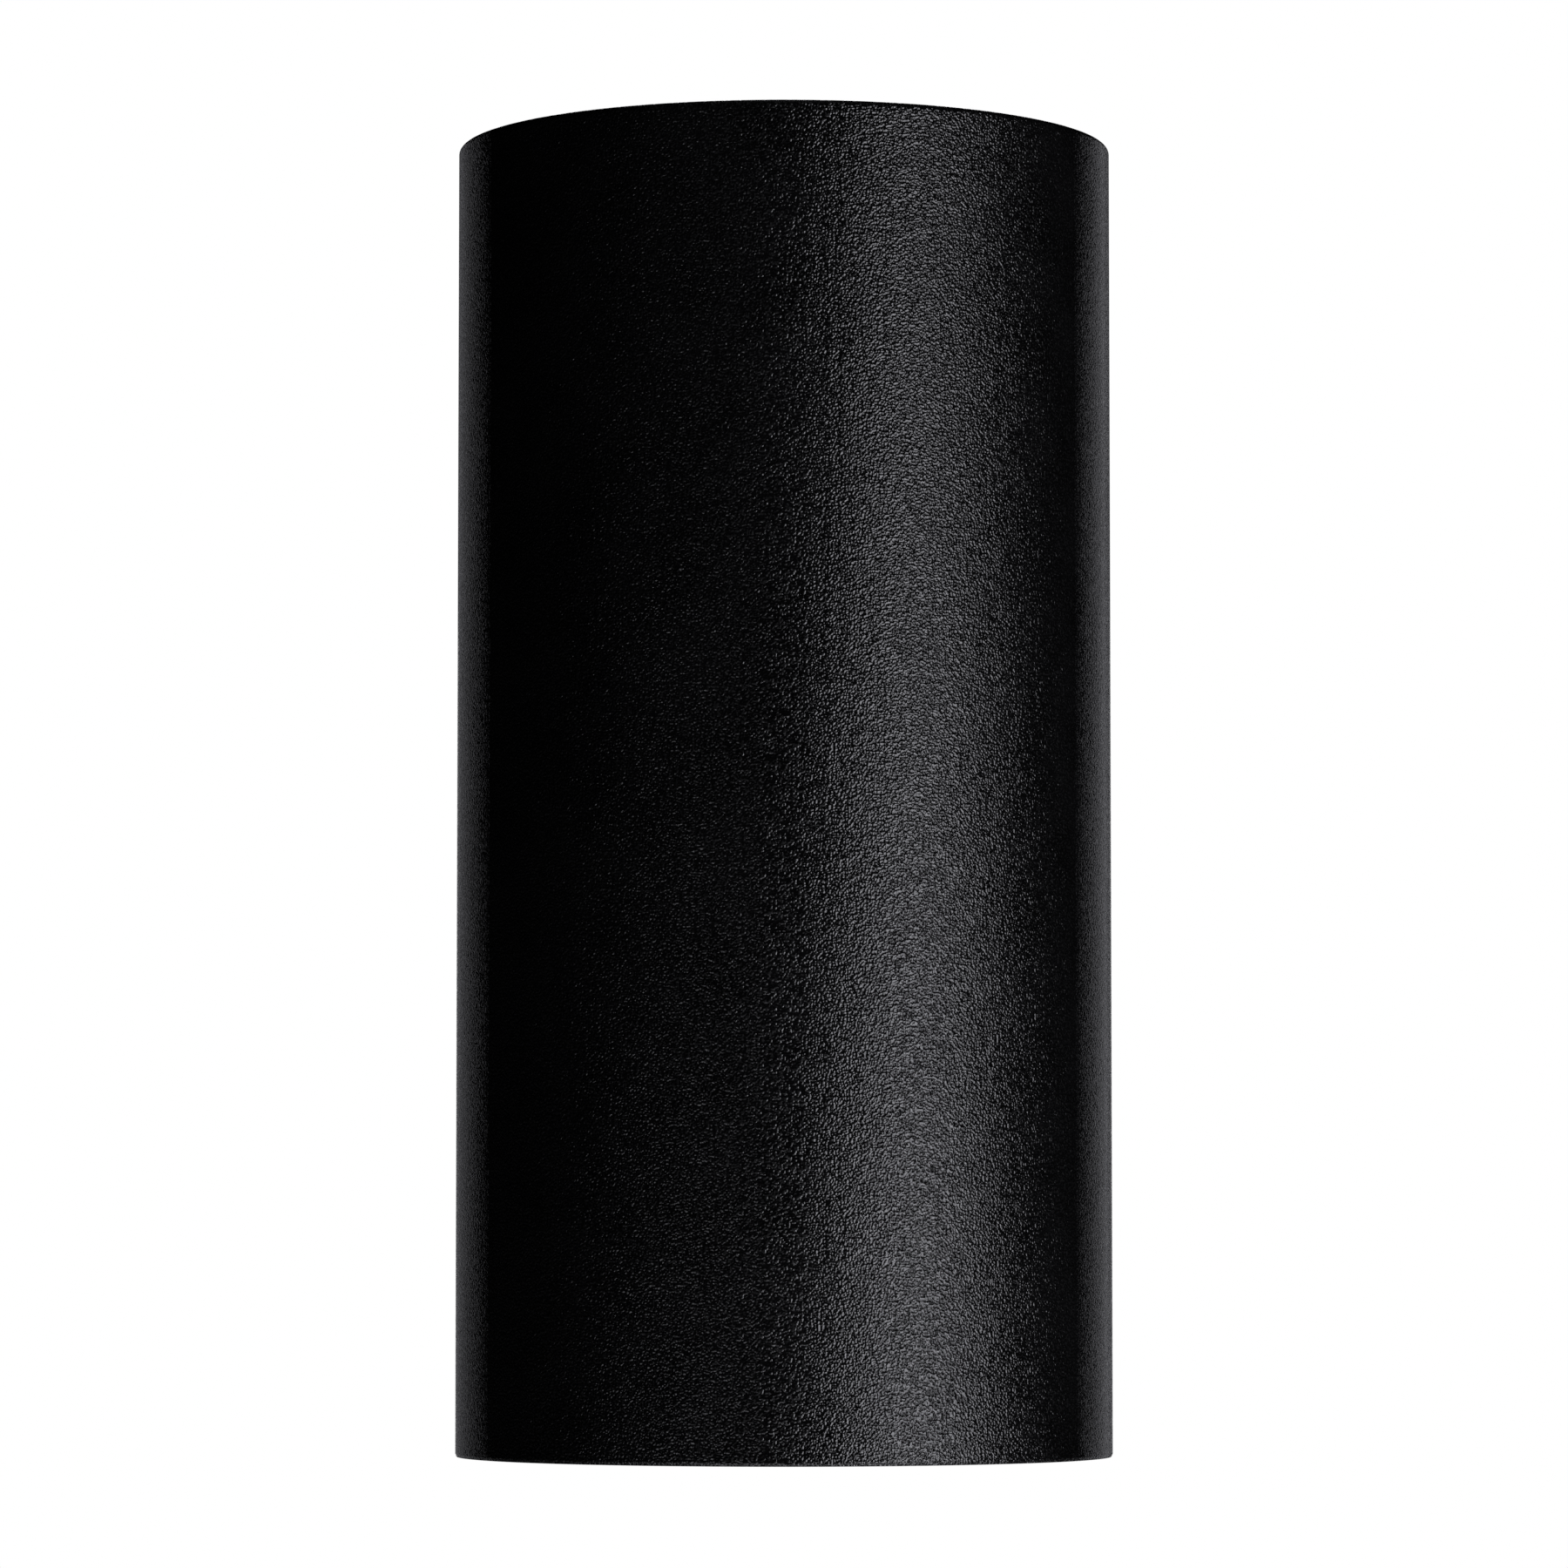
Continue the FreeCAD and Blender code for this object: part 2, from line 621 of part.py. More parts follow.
def lamp_housing():
    made = on_axis("lamp_housing")
    shell = turned(made, "can", [
        (0, ceiling), (bore_radius, ceiling), (bore_radius, seat_top), (mouth_radius, seat_top),
        (mouth_radius, mouth), (tube_radius - given.mouth_edge_chamfer, mouth),
        (tube_radius, mouth + given.mouth_edge_chamfer), (tube_radius, top), (0, top),
    ])
    fillet(made, "top_edge", shell, given.top_edge_radius, edges_where(shell, rim_at(tube_radius, top)))
    rib_high = lead_height + given.rib_margin
    drawing = sketch(made, "rib_outline", offset=rib_low)
    half_rib = given.rib_width / 2
    rectangle(drawing, -half_rib, half_rib, rib_face, bore_radius + given.mouth_wall / 2)
    pad(made, "rib", drawing, rib_high - rib_low)
    bosses = sketch(made, "boss_outlines", offset=boss_face)
    holes = sketch(made, "boss_hole_outlines", offset=boss_face)
    tapped = given.large_screw_radius + given.thread_gap
    for x, y in ((given.boss_spread, 0), (-given.boss_spread, 0), (0, given.earth_boss_setback)):
        circle(bosses, x, y, given.boss_radius)
        circle(holes, x, y, tapped)
    pad(made, "bosses", bosses, given.boss_height + given.top_thickness / 2)
    depth = given.boss_height + given.top_thickness - given.blind_floor
    pocket(made, "boss_holes", holes, depth, backwards=True)
    # the XZ plane's normal points at the room, so these sketches lie behind the can
    behind = -(tube_radius + given.overrun)
    drawing = sketch(made, "saddle_hole_outlines", "XZ_Plane", behind)
    for z in (saddle_high, saddle_low):
        circle(drawing, 0, z, tapped)
    pocket(made, "saddle_holes", drawing, given.overrun + saddle_hole_depth, backwards=True)
    drawing = sketch(made, "lead_hole_outline", "XZ_Plane", behind)
    circle(drawing, 0, lead_height, given.lead_hole_radius)
    pocket(made, "lead_hole", drawing, given.overrun + tube_radius, backwards=True)


def lens_seat():
    made = on_axis("lens_seat")
    turned(made, "seat", [
        (thread_radius, seat_bottom), (mouth_radius, seat_bottom), (mouth_radius, seat_top),
        (seat_aperture_radius, seat_top), (seat_aperture_radius, shoulder_face),
        (thread_radius, shoulder_face),
    ])


def glass_gasket():
    made = on_axis("glass_gasket")
    turned(made, "ring", ring_corners(seat_aperture_radius, glass_radius, glass_top, shoulder_face))


def front_glass():
    made = on_axis("front_glass")
    bevel = given.glass_edge_chamfer
    turned(made, "disc", [
        (0, glass_bottom), (glass_radius - bevel, glass_bottom), (glass_radius, glass_bottom + bevel),
        (glass_radius, glass_top - bevel), (glass_radius - bevel, glass_top), (0, glass_top),
    ])


def front_ring():
    made = on_axis("front_ring")
    bevel = given.ring_edge_chamfer
    sleeve = thread_radius - given.ring_thread_gap
    flange = mouth_radius - given.flange_gap
    turned(made, "ring", [
        (thread_radius - given.cone_land, ring_face), (flange - bevel, ring_face), (flange, ring_face + bevel),
        (flange, flange_top), (sleeve, flange_top), (sleeve, glass_bottom - bevel),
        (sleeve - bevel, glass_bottom), (aperture_radius, glass_bottom),
    ])
    drawing = sketch(made, "notch_outline", offset=ring_face)
    half = given.notch_width / 2
    rectangle(drawing, -half, half, flange - given.notch_length, flange + given.overrun)
    notch = pocket(made, "notch", drawing, given.notch_depth, backwards=True)
    repeat_round(made, "notches", [notch], NOTCH_COUNT)


def lamp_shell():
    made = on_axis("lamp_shell")
    ledge = lamp_bore - given.board_ledge
    shell = turned(made, "cone", [
        (lamp_bore, lamp_front), (lamp_radius, lamp_front), (lamp_radius, board_back),
        (given.cap_radius + given.lamp_wall, cap_joint), (neck_radius, cap_joint),
        (neck_radius, cap_joint - given.spigot_length), (ledge, board_back), (lamp_bore, board_back),
    ])
    rim = edges_where(shell, rim_at(lamp_radius, lamp_front))
    fillet(made, "rim", shell, given.lamp_edge_radius, rim)


def lamp_optic():
    made = on_axis("lamp_optic")
    plate_back_height = optic_front + given.optic_plate
    turned(made, "plate", [
        (0, optic_front), (lamp_bore - given.slide_gap, optic_front),
        (lamp_bore - given.slide_gap, plate_back_height), (0, plate_back_height),
    ])
    # each lens is a cone that starts inside the plate
    start = optic_front + given.optic_plate / 2
    drawing = sketch(made, "middle_lens_front", offset=start)
    circle(drawing, 0, 0, given.lenslet_front_radius)
    end = sketch(made, "middle_lens_back", offset=lenslet_back)
    circle(end, 0, 0, given.lenslet_back_radius)
    middle = feature(made, "AdditiveLoft", "middle_lens", drawing)
    middle.Sections = [end]
    drawing = sketch(made, "outer_lens_front", offset=start)
    circle(drawing, given.lenslet_circle, 0, given.lenslet_front_radius)
    end = sketch(made, "outer_lens_back", offset=lenslet_back)
    circle(end, given.lenslet_circle, 0, given.lenslet_back_radius)
    outer = feature(made, "AdditiveLoft", "outer_lens", drawing)
    outer.Sections = [end]
    repeat_round(made, "outer_lenses", [outer], LENSLET_COUNT)


def led_board():
    made = on_axis("led_board")
    drawing = sketch(made, "outline", offset=board_front)
    circle(drawing, 0, 0, lamp_bore - given.slide_gap)
    pad(made, "disc", drawing, given.board_thickness)


def led_chips():
    made = on_axis("led_chips", z=board_front - given.chip_height)
    half = given.chip_width / 2
    drawing = sketch(made, "middle_outline")
    rectangle(drawing, -half, half, -half, half)
    pad(made, "middle", drawing, given.chip_height)
    drawing = sketch(made, "outer_outline")
    rectangle(drawing, given.lenslet_circle - half, given.lenslet_circle + half, -half, half)
    outer = pad(made, "outer", drawing, given.chip_height)
    repeat_round(made, "outers", [outer], LENSLET_COUNT)


def lamp_cap():
    made = on_axis("lamp_cap")
    spigot_radius = neck_radius - given.slide_gap
    bore = given.cap_radius - given.cap_wall - given.cap_wall / 2
    spigot_end = cap_joint - given.spigot_length
    bevel = given.cap_chamfer
    turned(made, "cup", [
        (bore, spigot_end), (spigot_radius, spigot_end), (spigot_radius, cap_joint),
        (given.cap_radius, cap_joint), (given.cap_radius, lamp_back - bevel),
        (given.cap_radius - bevel, lamp_back), (0, lamp_back), (0, lamp_back - given.cap_end),
        (bore, lamp_back - given.cap_end),
    ])
    drawing = sketch(made, "pin_hole_outlines", offset=lamp_back)
    for y in (given.pin_circle, -given.pin_circle):
        circle(drawing, 0, y, given.pin_neck_radius)
    pocket(made, "pin_holes", drawing, given.cap_end)


def lamp_pins():
    made = on_axis("lamp_pins", z=lamp_back)
    sections = (
        ("neck", -given.cap_end, given.pin_length + given.cap_end, given.pin_neck_radius),
        ("head", given.pin_length - given.pin_head_height, given.pin_head_height, given.pin_head_radius),
    )
    for name, low, length, radius in sections:
        drawing = sketch(made, f"{name}_outlines", offset=low)
        for y in (given.pin_circle, -given.pin_circle):
            circle(drawing, 0, y, radius)
        last = pad(made, name, drawing, length)
    chamfer(made, "tips", last, given.pin_edge_chamfer, edges_where(last, at_height(given.pin_length)))


def driver_board():
    # stands in the cap with its lower edge on the cap's end
    made = on_axis("driver_board", z=lamp_back - given.cap_end, turn=DOWN)
    half = given.driver_width / 2
    face = given.driver_thickness / 2
    drawing = sketch(made, "board_outline", "YZ_Plane")
    rectangle(drawing, -half, half, 0, given.driver_height)
    pad(made, "board", drawing, given.driver_thickness, symmetric=True)
    drawing = sketch(made, "capacitor_outline", offset=given.driver_height - given.capacitor_height)
    circle(drawing, face + given.capacitor_radius - given.slide_gap, 0, given.capacitor_radius)
    pad(made, "capacitor", drawing, given.capacitor_height)
    drawing = sketch(made, "choke_outline", "YZ_Plane", -face)
    low = given.driver_height - given.capacitor_height
    rectangle(drawing, -given.choke_width / 2, given.choke_width / 2, low, low + given.choke_width)
    pad(made, "choke", drawing, given.choke_depth, backwards=True)


def keyhole_sector(owner, name, inner, outer, low, high):
    # the path that a pin sweeps while the lamp turns free
    drawing = sketch(owner, f"{name}_profile", "YZ_Plane")
    polygon(drawing, ring_corners(inner, outer, low, high))
    made = feature(owner, "Groove", name, drawing)
    made.ReferenceAxis = (drawing, ["V_Axis"])
    bind(made, "Angle", given.twist_angle)
    made.Reversed = True
    return made


def pin_place(locked):
    # where the pin on the +Y side is while the lamp is locked, or turned free
    if locked:
        return 0, given.pin_circle
    return given.pin_circle * sine(given.twist_angle), given.pin_circle * cosine(given.twist_angle)


def lampholder():
    made = on_axis("lampholder", z=holder_front)
    drawing = sketch(made, "outline")
    circle(drawing, 0, 0, given.holder_radius)
    block = pad(made, "block", drawing, given.holder_height)
    edge = edges_where(block, rim_at(given.holder_radius, 0))
    chamfer(made, "front_edge", block, given.holder_chamfer, edge)
    neck = given.pin_neck_radius + given.slot_gap
    head = given.pin_head_radius + given.slot_gap
    floor = given.holder_face
    cuts = [
        keyhole_sector(made, "neck_path", given.pin_circle - neck, given.pin_circle + neck, -given.overrun, floor),
        keyhole_sector(
            made, "head_path", given.pin_circle - head, chamber_radius,
            floor, given.holder_height + given.overrun,
        ),
    ]
    # the round ends of both paths, each cut on its own because they overlap
    for name, low, depth, locked, radius in (
        ("locked_neck", 0, floor, True, neck),
        ("free_hole", 0, floor, False, head),
        ("locked_head", floor, given.holder_height - floor, True, head),
        ("free_head", floor, given.holder_height - floor, False, head),
    ):
        drawing = sketch(made, f"{name}_outline", offset=low)
        circle(drawing, *pin_place(locked), radius)
        cuts.append(pocket(made, name, drawing, depth, backwards=True))
    repeat_round(made, "both_keyholes", cuts, 2)
    drawing = sketch(made, "screw_hole_outlines")
    sinks = sketch(made, "screw_sink_outlines")
    for x in (given.holder_screw_spread, -given.holder_screw_spread):
        circle(drawing, x, 0, given.small_screw_radius + given.hole_gap)
        circle(sinks, x, 0, given.small_head_radius + given.hole_gap)
    pocket(made, "screw_holes", drawing, backwards=True)
    pocket(made, "screw_sinks", sinks, head_sink, backwards=True)


def holder_contacts():
    # springs on the outer wall of the two pin chambers, beside the locked pins
    made = on_axis("holder_contacts", z=holder_front)
    inner = chamber_radius - given.contact_thickness
    drawing = sketch(made, "strip_profile", "YZ_Plane")
    polygon(drawing, ring_corners(inner, chamber_radius, given.holder_face, given.holder_height))
    strip = feature(made, "Revolution", "strip", drawing)
    strip.ReferenceAxis = (drawing, ["V_Axis"])
    bind(strip, "Angle", given.contact_angle)
    strip.Reversed = True
    repeat_round(made, "strips", [strip], 2)


def holder_cover():
    made = on_axis("holder_cover", z=holder_back)
    drawing = sketch(made, "outline")
    circle(drawing, 0, 0, given.holder_radius)
    block = pad(made, "block", drawing, given.cover_thickness)
    edge = edges_where(block, rim_at(given.holder_radius, given.cover_thickness))
    chamfer(made, "back_edge", block, given.holder_chamfer, edge)
    drawing = sketch(made, "hole_outlines")
    for x in (given.holder_screw_spread, -given.holder_screw_spread):
        circle(drawing, x, 0, given.small_screw_radius + given.hole_gap)
    for y in (given.pin_circle, -given.pin_circle):
        circle(drawing, 0, y, given.lead_radius + given.slide_gap)
    pocket(made, "holes", drawing, backwards=True)


def holder_bracket():
    # a strap bent down from two bosses, with the lampholder under its web
    made = on_axis("holder_bracket")
    thick = given.strap_thickness
    outer = given.strap_half_span
    inner = outer - thick
    foot = given.boss_spread + given.strap_foot_end
    right = [
        (outer, cover_back), (outer, boss_face - thick), (foot, boss_face - thick),
        (foot, boss_face), (inner, boss_face), (inner, strap_back),
    ]
    left = [(-x, z) for x, z in reversed(right)]
    drawing = sketch(made, "side_outline", "XZ_Plane")
    polygon(drawing, right + left)
    strap = pad(made, "strap", drawing, given.strap_width, symmetric=True)

    def bend_at(x, z):
        def test(edge):
            middle = edge.CenterOfMass
            across = straight_along((0, 1, 0))
            return across(edge) and abs(abs(middle.x) - x.value) < 1e-6 and abs(middle.z - z.value) < 1e-6

        return test

    inside = edges_where(strap, bend_at(inner, strap_back)) + edges_where(strap, bend_at(outer, boss_face - thick))
    smooth = fillet(made, "inner_bends", strap, given.strap_bend, inside)
    outside = edges_where(smooth, bend_at(outer, cover_back)) + edges_where(smooth, bend_at(inner, boss_face))
    fillet(made, "outer_bends", smooth, given.strap_bend + thick, outside)
    drawing = sketch(made, "foot_hole_outlines", offset=boss_face)
    for x in (given.boss_spread, -given.boss_spread):
        circle(drawing, x, 0, given.large_screw_radius + given.hole_gap)
    pocket(made, "foot_holes", drawing, thick)
    drawing = sketch(made, "web_hole_outlines", offset=strap_back)
    for x in (given.holder_screw_spread, -given.holder_screw_spread):
        circle(drawing, x, 0, given.small_screw_radius + given.hole_gap)
    for y in (given.pin_circle, -given.pin_circle):
        circle(drawing, 0, y, given.strap_lead_radius)
    pocket(made, "web_holes", drawing, thick)


def bracket_screws():
    made = on_axis("bracket_screws", z=boss_face - given.strap_thickness, turn=DOWN)
    length = given.strap_thickness + given.boss_height
    one = screw(
        made, given.boss_spread, 0, given.large_screw_radius, length,
        given.large_head_radius, given.large_head_height,
    )
    mirror(made, one, "YZ_Plane")


def holder_screws():
    made = on_axis("holder_screws", z=holder_front + head_sink, turn=DOWN)
    stack = strap_back - holder_front - head_sink
    one = screw(
        made, given.holder_screw_spread, 0, given.small_screw_radius,
        stack + given.nut_height + given.screw_tail,
        given.small_head_radius, given.small_head_height,
    )
    mirror(made, one, "YZ_Plane")


def holder_nuts():
    made = on_axis("holder_nuts", z=strap_back)
    drawing = sketch(made, "outline")
    hexagon(drawing, given.holder_screw_spread, 0, given.nut_radius)
    circle(drawing, given.holder_screw_spread, 0, given.small_screw_radius + given.thread_gap)
    nut = pad(made, "nut", drawing, given.nut_height)
    mirror(made, [nut], "YZ_Plane")


def earth_screw():
    made = body("earth_screw", y=given.earth_boss_setback - axis_setback, z=boss_face - given.tag_thickness, turn=DOWN)
    screw(
        made, 0, 0, given.large_screw_radius, given.tag_thickness + given.boss_height,
        given.large_head_radius, given.large_head_height,
    )


def earth_tag():
    # a flat ring under the screw's head, with a barrel that holds the lead
    made = body("earth_tag", y=given.earth_boss_setback - axis_setback, z=boss_face - given.tag_thickness)
    thick = given.tag_thickness
    barrel_start = given.tag_radius + given.tag_tongue
    drawing = sketch(made, "ring_outline")
    circle(drawing, 0, 0, given.tag_radius)
    pad(made, "ring", drawing, thick)
    drawing = sketch(made, "tongue_outline")
    half = given.barrel_radius
    rectangle(drawing, -half, half, -barrel_start - given.overrun / 2, 0)
    pad(made, "tongue", drawing, thick)
    drawing = sketch(made, "barrel_outline", "XZ_Plane", barrel_start)
    circle(drawing, 0, thick - given.barrel_radius, given.barrel_radius)
    pad(made, "barrel", drawing, given.barrel_length)
    drawing = sketch(made, "barrel_bore_outline", "XZ_Plane", barrel_start + given.barrel_length)
    circle(drawing, 0, thick - given.barrel_radius, given.lead_radius)
    pocket(made, "barrel_bore", drawing, given.barrel_length)
    drawing = sketch(made, "hole_outline")
    circle(drawing, 0, 0, given.large_screw_radius + given.hole_gap)
    pocket(made, "hole", drawing, backwards=True)


def saddle_block(made, front):
    # the box's outline as a block that reaches from the wall side to the can's axis
    half_width = given.box_width / 2
    half_height = given.box_height / 2
    drawing = sketch(made, "outline", "XZ_Plane", front)
    rectangle(drawing, -half_width, half_width, -half_height, half_height)
    block = pad(made, "block", drawing, axis_setback - front)
    return fillet(made, "corners", block, given.box_corner_radius, edges_where(block, straight_along((0, 1, 0))))


def cut_saddle_holes(made):
    drawing = sketch(made, "hole_outlines", "XZ_Plane", axis_setback)
    for z in (saddle_high, saddle_low):
        circle(drawing, 0, z, given.large_screw_radius + given.hole_gap)
    circle(drawing, 0, lead_height, given.lead_hole_radius)
    pocket(made, "holes", drawing)


def inner_corner(edge):
    # picks the edges in the corners of the box's inside
    across = straight_along((0, 1, 0))
    return across(edge) and abs(abs(edge.CenterOfMass.x) - inner_half_width.value) < 1e-6


def wall_box():
    made = body("wall_box")
    saddle_block(made, plate_back)
    drawing = sketch(made, "saddle_outline")
    circle(drawing, 0, -axis_setback, saddle_radius)
    pocket(made, "saddle", drawing, symmetric=True)
    # the inside ends in an arch, one wall behind the saddle
    drawing = sketch(made, "inside_outline")
    arched_outline(drawing, inner_half_width, as_size(0), -axis_setback, saddle_radius + given.box_wall)
    inside = pocket(made, "inside", drawing, given.box_height - 2 * given.box_wall, symmetric=True)
    corners = edges_where(inside, inner_corner)
    fillet(made, "inside_corners", inside, given.box_corner_radius - given.box_wall, corners)
    drawing = sketch(made, "spot_outlines", "XZ_Plane", spot_setback)
    for z in (saddle_high, saddle_low):
        circle(drawing, 0, z, given.spot_radius)
    circle(drawing, 0, lead_height, given.lead_hole_radius + given.lead_flange + given.hole_gap)
    pad(made, "spots", drawing, given.spot_height + given.box_wall / 2)
    cut_saddle_holes(made)
    drawing = sketch(made, "side_hole_outlines", "YZ_Plane")
    circle(drawing, -fixing_setback, 0, given.large_screw_radius + given.hole_gap)
    pocket(made, "side_holes", drawing, symmetric=True)


def saddle_gasket():
    made = body("saddle_gasket")
    saddle_block(made, plate_front)
    half_width = given.box_width / 2
    drawing = sketch(made, "can_outline")
    circle(drawing, 0, -axis_setback, tube_radius)
    pocket(made, "can_side", drawing, symmetric=True)
    drawing = sketch(made, "box_outline")
    edge = half_width + given.overrun
    rectangle(drawing, -edge - saddle_radius, edge + saddle_radius, -axis_setback - edge - saddle_radius, 0)
    circle(drawing, 0, -axis_setback, saddle_radius)
    pocket(made, "box_side", drawing, symmetric=True)
    cut_saddle_holes(made)


def saddle_screws():
    made = body("saddle_screws", y=-spot_setback, z=(saddle_high + saddle_low) / 2, turn=TO_WALL)
    one = screw(
        made, 0, (saddle_high - saddle_low) / 2, given.large_screw_radius, saddle_screw_length,
        given.large_head_radius, given.large_head_height,
    )
    mirror(made, one, "XZ_Plane")


def lead_grommet():
    made = body("lead_grommet", y=-spot_setback, z=lead_height, turn=TO_ROOM)
    flange = given.lead_hole_radius + given.lead_flange
    thick = given.lead_flange_thickness
    length = axis_setback - rib_face - spot_setback
    turned(made, "bush", [
        (given.lead_bore_radius, -thick), (flange, -thick), (flange, 0), (given.lead_hole_radius, 0),
        (given.lead_hole_radius, length), (flange, length), (flange, length + thick),
        (given.lead_bore_radius, length + thick),
    ])


def cut_wall_slots(made):
    drawing = sketch(made, "slot_outlines", "XZ_Plane")
    for z in (given.wall_slot_spacing / 2, -given.wall_slot_spacing / 2):
        upright_slot(drawing, z, given.wall_slot_radius, given.wall_slot_length)
    pocket(made, "slots", drawing, symmetric=True)


def wall_gasket():
    made = body("wall_gasket")
    half_width = given.box_width / 2
    half_height = given.box_height / 2
    drawing = sketch(made, "outline", "XZ_Plane")
    rectangle(drawing, -half_width, half_width, -half_height, half_height)
    sheet_pad = pad(made, "foam", drawing, given.gasket_thickness)
    corners = edges_where(sheet_pad, straight_along((0, 1, 0)))
    fillet(made, "corners", sheet_pad, given.box_corner_radius, corners)
    cut_wall_slots(made)
    drawing = sketch(made, "inlet_outline", "XZ_Plane")
    circle(drawing, 0, -given.inlet_drop, given.inlet_neck_radius + given.inlet_flange + given.hole_gap)
    pocket(made, "inlet", drawing, symmetric=True)


def wall_plate():
    made = body("wall_plate")
    drawing = sketch(made, "outline", "XZ_Plane", plate_back)
    rectangle(drawing, -plate_half_width, plate_half_width, -plate_half_height, plate_half_height)
    steel = pad(made, "steel", drawing, given.plate_thickness)
    corners = edges_where(steel, straight_along((0, 1, 0)))
    fillet(made, "corners", steel, given.plate_corner_radius, corners)
    drawing = sketch(made, "ear_outlines", "XZ_Plane", plate_back)
    half = given.ear_height / 2
    inner = plate_half_width - given.plate_thickness
    rectangle(drawing, inner, plate_half_width, -half, half)
    rectangle(drawing, -plate_half_width, -inner, -half, half)
    pad(made, "ears", drawing, given.plate_thickness + given.ear_depth)
    drawing = sketch(made, "ear_hole_outlines", "YZ_Plane")
    circle(drawing, -fixing_setback, 0, given.large_screw_radius + given.thread_gap)
    pocket(made, "ear_holes", drawing, symmetric=True)
    cut_wall_slots(made)
    drawing = sketch(made, "hole_outlines", "XZ_Plane")
    circle(drawing, 0, -given.inlet_drop, given.inlet_neck_radius)
    circle(drawing, -given.plate_earth_side, plate_earth_height, given.large_screw_radius + given.thread_gap)
    for x in (given.pole_pitch / 2, -given.pole_pitch / 2):
        circle(drawing, x, given.terminal_rise, given.small_screw_radius + given.thread_gap)
    pocket(made, "holes", drawing, symmetric=True)


def fixing_screws():
    # hexagon-socket screws through the sides of the box, into the plate's ears
    made = body("fixing_screws", y=-fixing_setback, turn=TO_RIGHT)
    one = screw(
        made, 0, 0, given.large_screw_radius, given.fixing_screw_length, given.large_head_radius,
        given.large_head_height, seat=given.box_width / 2, socket=given.hex_socket_radius,
    )
    mirror(made, one, "XY_Plane")


def cable_grommet():
    made = body("cable_grommet", z=-given.inlet_drop, turn=TO_ROOM)
    neck = given.inlet_neck_radius
    flange = neck + given.inlet_flange
    front_flange = plate_front + given.inlet_lip
    nozzle = given.cable_radius + given.nozzle_wall
    turned(made, "bush", [
        (given.cable_radius, 0), (flange, 0), (flange, plate_back), (neck, plate_back),
        (neck, plate_front), (flange, plate_front), (flange, front_flange),
        (nozzle, plate_front + given.inlet_nozzle), (given.cable_radius, plate_front + given.inlet_nozzle),
    ])


def plate_earth_screw():
    made = body(
        "plate_earth_screw", x=-given.plate_earth_side, y=-plate_front - given.washer_thickness,
        z=plate_earth_height, turn=TO_ROOM,
    )
    screw(
        made, 0, 0, given.large_screw_radius, given.washer_thickness + given.plate_thickness,
        given.large_head_radius, given.large_head_height,
    )


def plate_earth_washer():
    made = body(
        "plate_earth_washer", x=-given.plate_earth_side, y=-plate_front,
        z=plate_earth_height, turn=TO_ROOM,
    )
    inner = given.large_screw_radius + given.hole_gap
    turned(made, "ring", ring_corners(inner, given.washer_radius, 0, given.washer_thickness))


def terminal_block():
    made = body("terminal_block", y=-plate_front, z=given.terminal_rise, turn=TO_ROOM)
    # in the body's own frame Z points at the room and Y up the wall
    half_width = given.pole_pitch * POLE_COUNT / 2
    half_height = given.terminal_height / 2
    drawing = sketch(made, "outline")
    rectangle(drawing, -half_width, half_width, -half_height, half_height)
    block = pad(made, "block", drawing, given.terminal_depth)
    fillet(made, "corners", block, given.terminal_edge_radius, edges_where(block, straight_along((0, 0, 1))))
    first = -given.pole_pitch * (POLE_COUNT - 1) / 2
    towers = sketch(made, "tower_outlines", offset=given.terminal_depth)
    holes = sketch(made, "tower_hole_outlines", offset=given.terminal_depth + given.tower_height)
    for y in (given.tower_offset, -given.tower_offset):
        circle(towers, first, y, given.tower_radius)
        circle(holes, first, y, given.clamp_screw_radius + given.hole_gap)
    tower = pad(made, "towers", towers, given.tower_height)
    hole = pocket(made, "tower_holes", holes, tower_front - clamp_setback)
    drawing = sketch(made, "wire_hole_outline", "XZ_Plane")
    circle(drawing, first, given.clamp_setback, given.clamp_radius)
    wire_hole = pocket(made, "wire_hole", drawing, symmetric=True)
    span = given.pole_pitch * (POLE_COUNT - 1)
    repeat_along(made, "poles", [tower, hole, wire_hole], "X", span, POLE_COUNT)
    drawing = sketch(made, "fixing_hole_outlines")
    for x in (given.pole_pitch / 2, -given.pole_pitch / 2):
        circle(drawing, x, 0, given.small_screw_radius + given.hole_gap)
    pocket(made, "fixing_holes", drawing, given.terminal_depth, backwards=True)


def terminal_clamps():
    made = body("terminal_clamps", y=-clamp_setback, z=given.terminal_rise)
    first = -given.pole_pitch * (POLE_COUNT - 1) / 2
    half = given.clamp_length / 2
    drawing = sketch(made, "outline", offset=-half)
    circle(drawing, first, 0, given.clamp_radius)
    circle(drawing, first, 0, given.clamp_bore_radius)
    tube = pad(made, "tube", drawing, given.clamp_length)
    drawing = sketch(made, "screw_hole_outlines", "XZ_Plane")
    for z in (given.tower_offset, -given.tower_offset):
        circle(drawing, first, z, given.clamp_screw_radius + given.thread_gap)
    holes = pocket(made, "screw_holes", drawing, given.clamp_radius + given.overrun, backwards=True)
    span = given.pole_pitch * (POLE_COUNT - 1)
    repeat_along(made, "tubes", [tube, holes], "X", span, POLE_COUNT)


